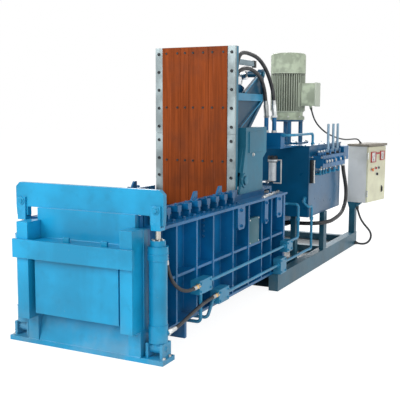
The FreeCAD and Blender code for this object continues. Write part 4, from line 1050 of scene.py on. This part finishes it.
class PRESS_OT_valves(bpy.types.Operator):
    """Dress the valve bank, its levers, the manifold and the pipe fittings"""
    bl_idname = "press.valves"
    bl_label = "Valves and pipes"

    def execute(self, context):
        joints = Piece("valve_section_joints", "dark_steel")
        for y in (3168, 3258, 3345, 3517, 3683, 3812):
            joints.block(541, 660.8, y, y + 3, 1029.4, 1150.8)
        bodies = Piece("valve_spool_caps", "box_paint")
        fittings = Piece("valve_fittings", "zinc")
        boots = Piece("lever_boots", "black_plastic")
        drops = Piece("valve_drop_pipes", "pipe_paint")
        for y in BLANKS_Y + LEVERS_Y:
            bodies.rod(24, (660, y, SPOOL_Z), (682, y, SPOOL_Z), 24, soft=2)
            fittings.rod(16, (682, y, SPOOL_Z), (692, y, SPOOL_Z), 6)
            fittings.rod(17, (622, y, 1030), (622, y, 1012), 6)
            drops.tube(10, (622, y, 1014), (622, y, 968), (541, y, 968))
            fittings.rod(15, (556, y, 968), (541, y, 968), 6)
        for y in LEVERS_Y:
            for z, radius in ((1152, 26), (1158, 23), (1164, 20)):
                boots.ring(radius, 4, (VALVE_X, y, z), UP, 24)
        for y in BLANKS_Y:
            bodies.rod(22, (VALVE_X, y, 1150), (VALVE_X, y, 1184), 24, soft=3)
            fittings.rod(13, (VALVE_X, y, 1184), (VALVE_X, y, 1200), 6)
        for x in (552, 648):
            for z in (1044, 1136):
                fittings.rod(9, (x, 3085, z), (x, 3070, z), 6)
                fittings.rod(9, (x, 3860, z), (x, 3874, z), 6)
        for number, y in enumerate(LEVERS_Y, 1):
            grip = Piece("lever_grip_%d" % number, "lever_paint", "lever_%d" % number)
            grip.rod(13, (VALVE_X, y, 1222), (VALVE_X, y, 1458), 20, soft=2)
            grip.rod(16, (VALVE_X, y, 1204), (VALVE_X, y, 1222), 6)

        sleeves = Piece("hose_sleeves", "zinc")
        nuts = Piece("hose_nuts", "brass")
        for name, end, big in (("lid_hose_near", 0, 92), ("lid_hose_far", 0, 92),
                               ("lid_hose_near", -1, 20), ("lid_hose_far", -1, 20),
                               ("gate_hose_upper", 0, 20), ("gate_hose_lower", 0, 20),
                               ("valve_hose", 0, 24), ("valve_hose", -1, 20)):
            tip, inward = hose_end(name, end)
            radius = HOSES[name][1]
            sleeves.rod(radius + 6, tip + inward * big, tip - inward * 8, 28, soft=1.5)
            sleeves.rod(radius + 4, tip - inward * 8, tip - inward * 46, 28, tip=radius + 2)
            sleeves.rod(radius + 11, tip + inward * big, tip + inward * (big + 20), 6)
        for name in ("gate_hose_upper", "gate_hose_lower"):
            tip, inward = hose_end(name, -1)
            nuts.rod(19, tip + inward * 4, tip + inward * 23, 6)
            nuts.rod(17, tip + inward * 4, tip - inward * 30, 24, tip=15)
            sleeves.rod(16.5, tip - inward * 30, tip - inward * 62, 24, tip=14.5)
        for x in (323, 244):
            sleeves.rod(25, (x, 2620, 1387), (x, 2620, 1407), 6)

        fittings = Piece("pipe_nuts", "pipe_paint")
        for y, z in ((770, 380), (2299, 380), (1065, 232), (2139, 232), (2305, 232)):
            fittings.rod(20, (552, y, z), (552, y + 26, z), 6)
        for start, end in (((552, 2690, 560), (552, 2690, 590)),
                           ((558.5, 3070, 520), (558.5, 3070, 550)),
                           ((425, 2442, 716), (425, 2470, 716)),
                           ((505, 2985, 700), (505, 2985, 718)),
                           ((505, 2996, 735), (505, 3012, 735)),
                           ((495, 3250, 1252), (495, 3250, 1276))):
            fittings.rod(20, start, end, 6)
        fittings.rod(19, (410, 2620, 1365), (430, 2620, 1365), 6)
        screws = Piece("block_screws", "pipe_paint")
        for y0, y1, z0, z1 in PIPE_BLOCKS:
            for y in (y0 + 20, y1 - 20):
                for z in (z0 + 20, z1 - 20):
                    screws.bolt((582, y, z), RIGHT, 14)
        return Piece.build_started()


# ---- cabinet

class PRESS_OT_cabinet(bpy.types.Operator):
    """Dress the control cabinet: meters, lamps, buttons, lock, hinges and cap"""
    bl_idname = "press.cabinet"
    bl_label = "Control cabinet"

    def execute(self, context):
        hinge = Vector((*DOOR_HINGE, 0))
        turn = (Matrix.Translation(hinge) @ Matrix.Rotation(math.radians(CABINET_TURN), 4, "Z")
                @ Matrix.Translation(-hinge))

        def door_piece(name, finish_name):
            return Piece(name, finish_name, "cabinet_door", turn)

        cap = Piece("cabinet_cap", "cap_paint", MACHINE, turn)
        cap.block(438, 716, 4688, 5212, 1174, 1201.5, 3)
        lip = door_piece("door_lip", "door_paint")
        for y0, y1, z0, z1 in ((4702, 4712, 517, 1167), (5188, 5198, 517, 1167),
                               (4712, 5188, 517, 527), (4712, 5188, 1157, 1167)):
            lip.block(698, 702.5, y0, y1, z0, z1, 1)

        frames = door_piece("meter_frames", "red_plastic")
        faces = door_piece("meter_faces", "white_plastic")
        marks = door_piece("meter_marks", "black_plastic")
        for y0, y1, z0, z1 in ((4775, 4905, 985, 1110), (5035, 5150, 1002, 1112)):
            for a0, a1, b0, b1 in ((y0, y1, z1 - 9, z1), (y0, y1, z0, z0 + 9),
                                   (y0, y0 + 9, z0, z1), (y1 - 9, y1, z0, z1)):
                frames.block(699, 714, a0, a1, b0, b1, 1.5)
            faces.block(699, 708, y0 + 6, y1 - 6, z0 + 6, z1 - 6, 1)
            middle, low, reach = (y0 + y1) / 2, z0 + 30, (y1 - y0) * 0.36
            for step in range(9):
                angle = math.radians(35 + 110 * step / 8)
                away = Vector((0, math.cos(angle), math.sin(angle)))
                foot = Vector((708, middle, low)) + away * reach
                marks.rod(1.1, foot, foot + away * (9 if step % 4 == 0 else 5), 6)
            away = Vector((0, math.cos(2.2), math.sin(2.2)))
            marks.rod(1.3, (709, middle, low), Vector((709, middle, low)) + away * reach, 6)
            marks.rod(5, (708, middle, low), (711, middle, low), 16)

        lamps = door_piece("signal_lamps", "red_plastic")
        rims = door_piece("lamp_rims", "zinc")
        for y in (4930, 4964, 4998):
            lamps.rod(11, (700, y, 1088), (712, y, 1088), 24, tip=9, soft=2)
            rims.ring(13, 2.5, (701, y, 1088), RIGHT, 24)
        for y, z, radius in ((4805, 900, 19), (4920, 912, 15), (5005, 912, 15), (4950, 840, 15)):
            rims.rod(radius + 6, (700, y, z), (704, y, z), 28, soft=1)
        lamps.rod(13, (704, 4920, 912), (718, 4920, 912), 24, soft=3)
        stop = door_piece("stop_button", "orange_plastic")
        stop.rod(10, (704, 4805, 900), (716, 4805, 900), 20)
        stop.rod(21, (716, 4805, 900), (728, 4805, 900), 28, soft=4)
        dark = door_piece("door_switches", "black_plastic")
        dark.rod(13, (704, 5005, 912), (714, 5005, 912), 24, soft=2)
        dark.rod(14, (704, 4950, 840), (712, 4950, 840), 24, soft=2)
        dark.block(712, 724, 4946, 4954, 824, 856, 2)
        dark.block(700, 706, 5092, 5122, 610, 690, 3)
        dark.block(706, 718, 5102, 5112, 622, 676, 3)
        knuckles = door_piece("hinge_knuckles", "zinc")
        for z in (580, 1025):
            for step in range(3):
                low = z + step * 27
                knuckles.rod(8.2, (*DOOR_HINGE, low), (*DOOR_HINGE, low + 25), 18, soft=0.8)
        return Piece.build_started()


# ---- panel

OPERATORS = (PRESS_OT_stage, PRESS_OT_paint, PRESS_OT_hoses, PRESS_OT_gate, PRESS_OT_box,
             PRESS_OT_lid, PRESS_OT_motor, PRESS_OT_tank, PRESS_OT_valves, PRESS_OT_cabinet)
SETTINGS = {"press_paints": PressPaints, "press_sizes": PressSizes, "press_stage": PressStage}


class PRESS_PT_panel(bpy.types.Panel):
    """Steps and settings of the baling press"""
    bl_idname = "PRESS_PT_panel"
    bl_label = "Baling Press"
    bl_space_type = "VIEW_3D"
    bl_region_type = "UI"
    bl_category = "Baling Press"

    def draw(self, context):
        for operator in OPERATORS:
            self.layout.operator(operator.bl_idname)
        for name, group in SETTINGS.items():
            box = self.layout.box()
            for prop in group.__annotations__:
                box.prop(getattr(context.scene, name), prop)


def register():
    for group in SETTINGS.values():
        bpy.utils.register_class(group)
    for name, group in SETTINGS.items():
        setattr(bpy.types.Scene, name, PointerProperty(type=group))
    for made in OPERATORS + (PRESS_PT_panel,):
        bpy.utils.register_class(made)


def unregister():
    for made in reversed(OPERATORS + (PRESS_PT_panel,)):
        bpy.utils.unregister_class(made)
    for name in SETTINGS:
        delattr(bpy.types.Scene, name)
    for group in SETTINGS.values():
        bpy.utils.unregister_class(group)


def main():
    register()
    for operator in OPERATORS:
        group, name = operator.bl_idname.split(".")
        getattr(getattr(bpy.ops, group), name)()


if __name__ == "__main__":
    main()
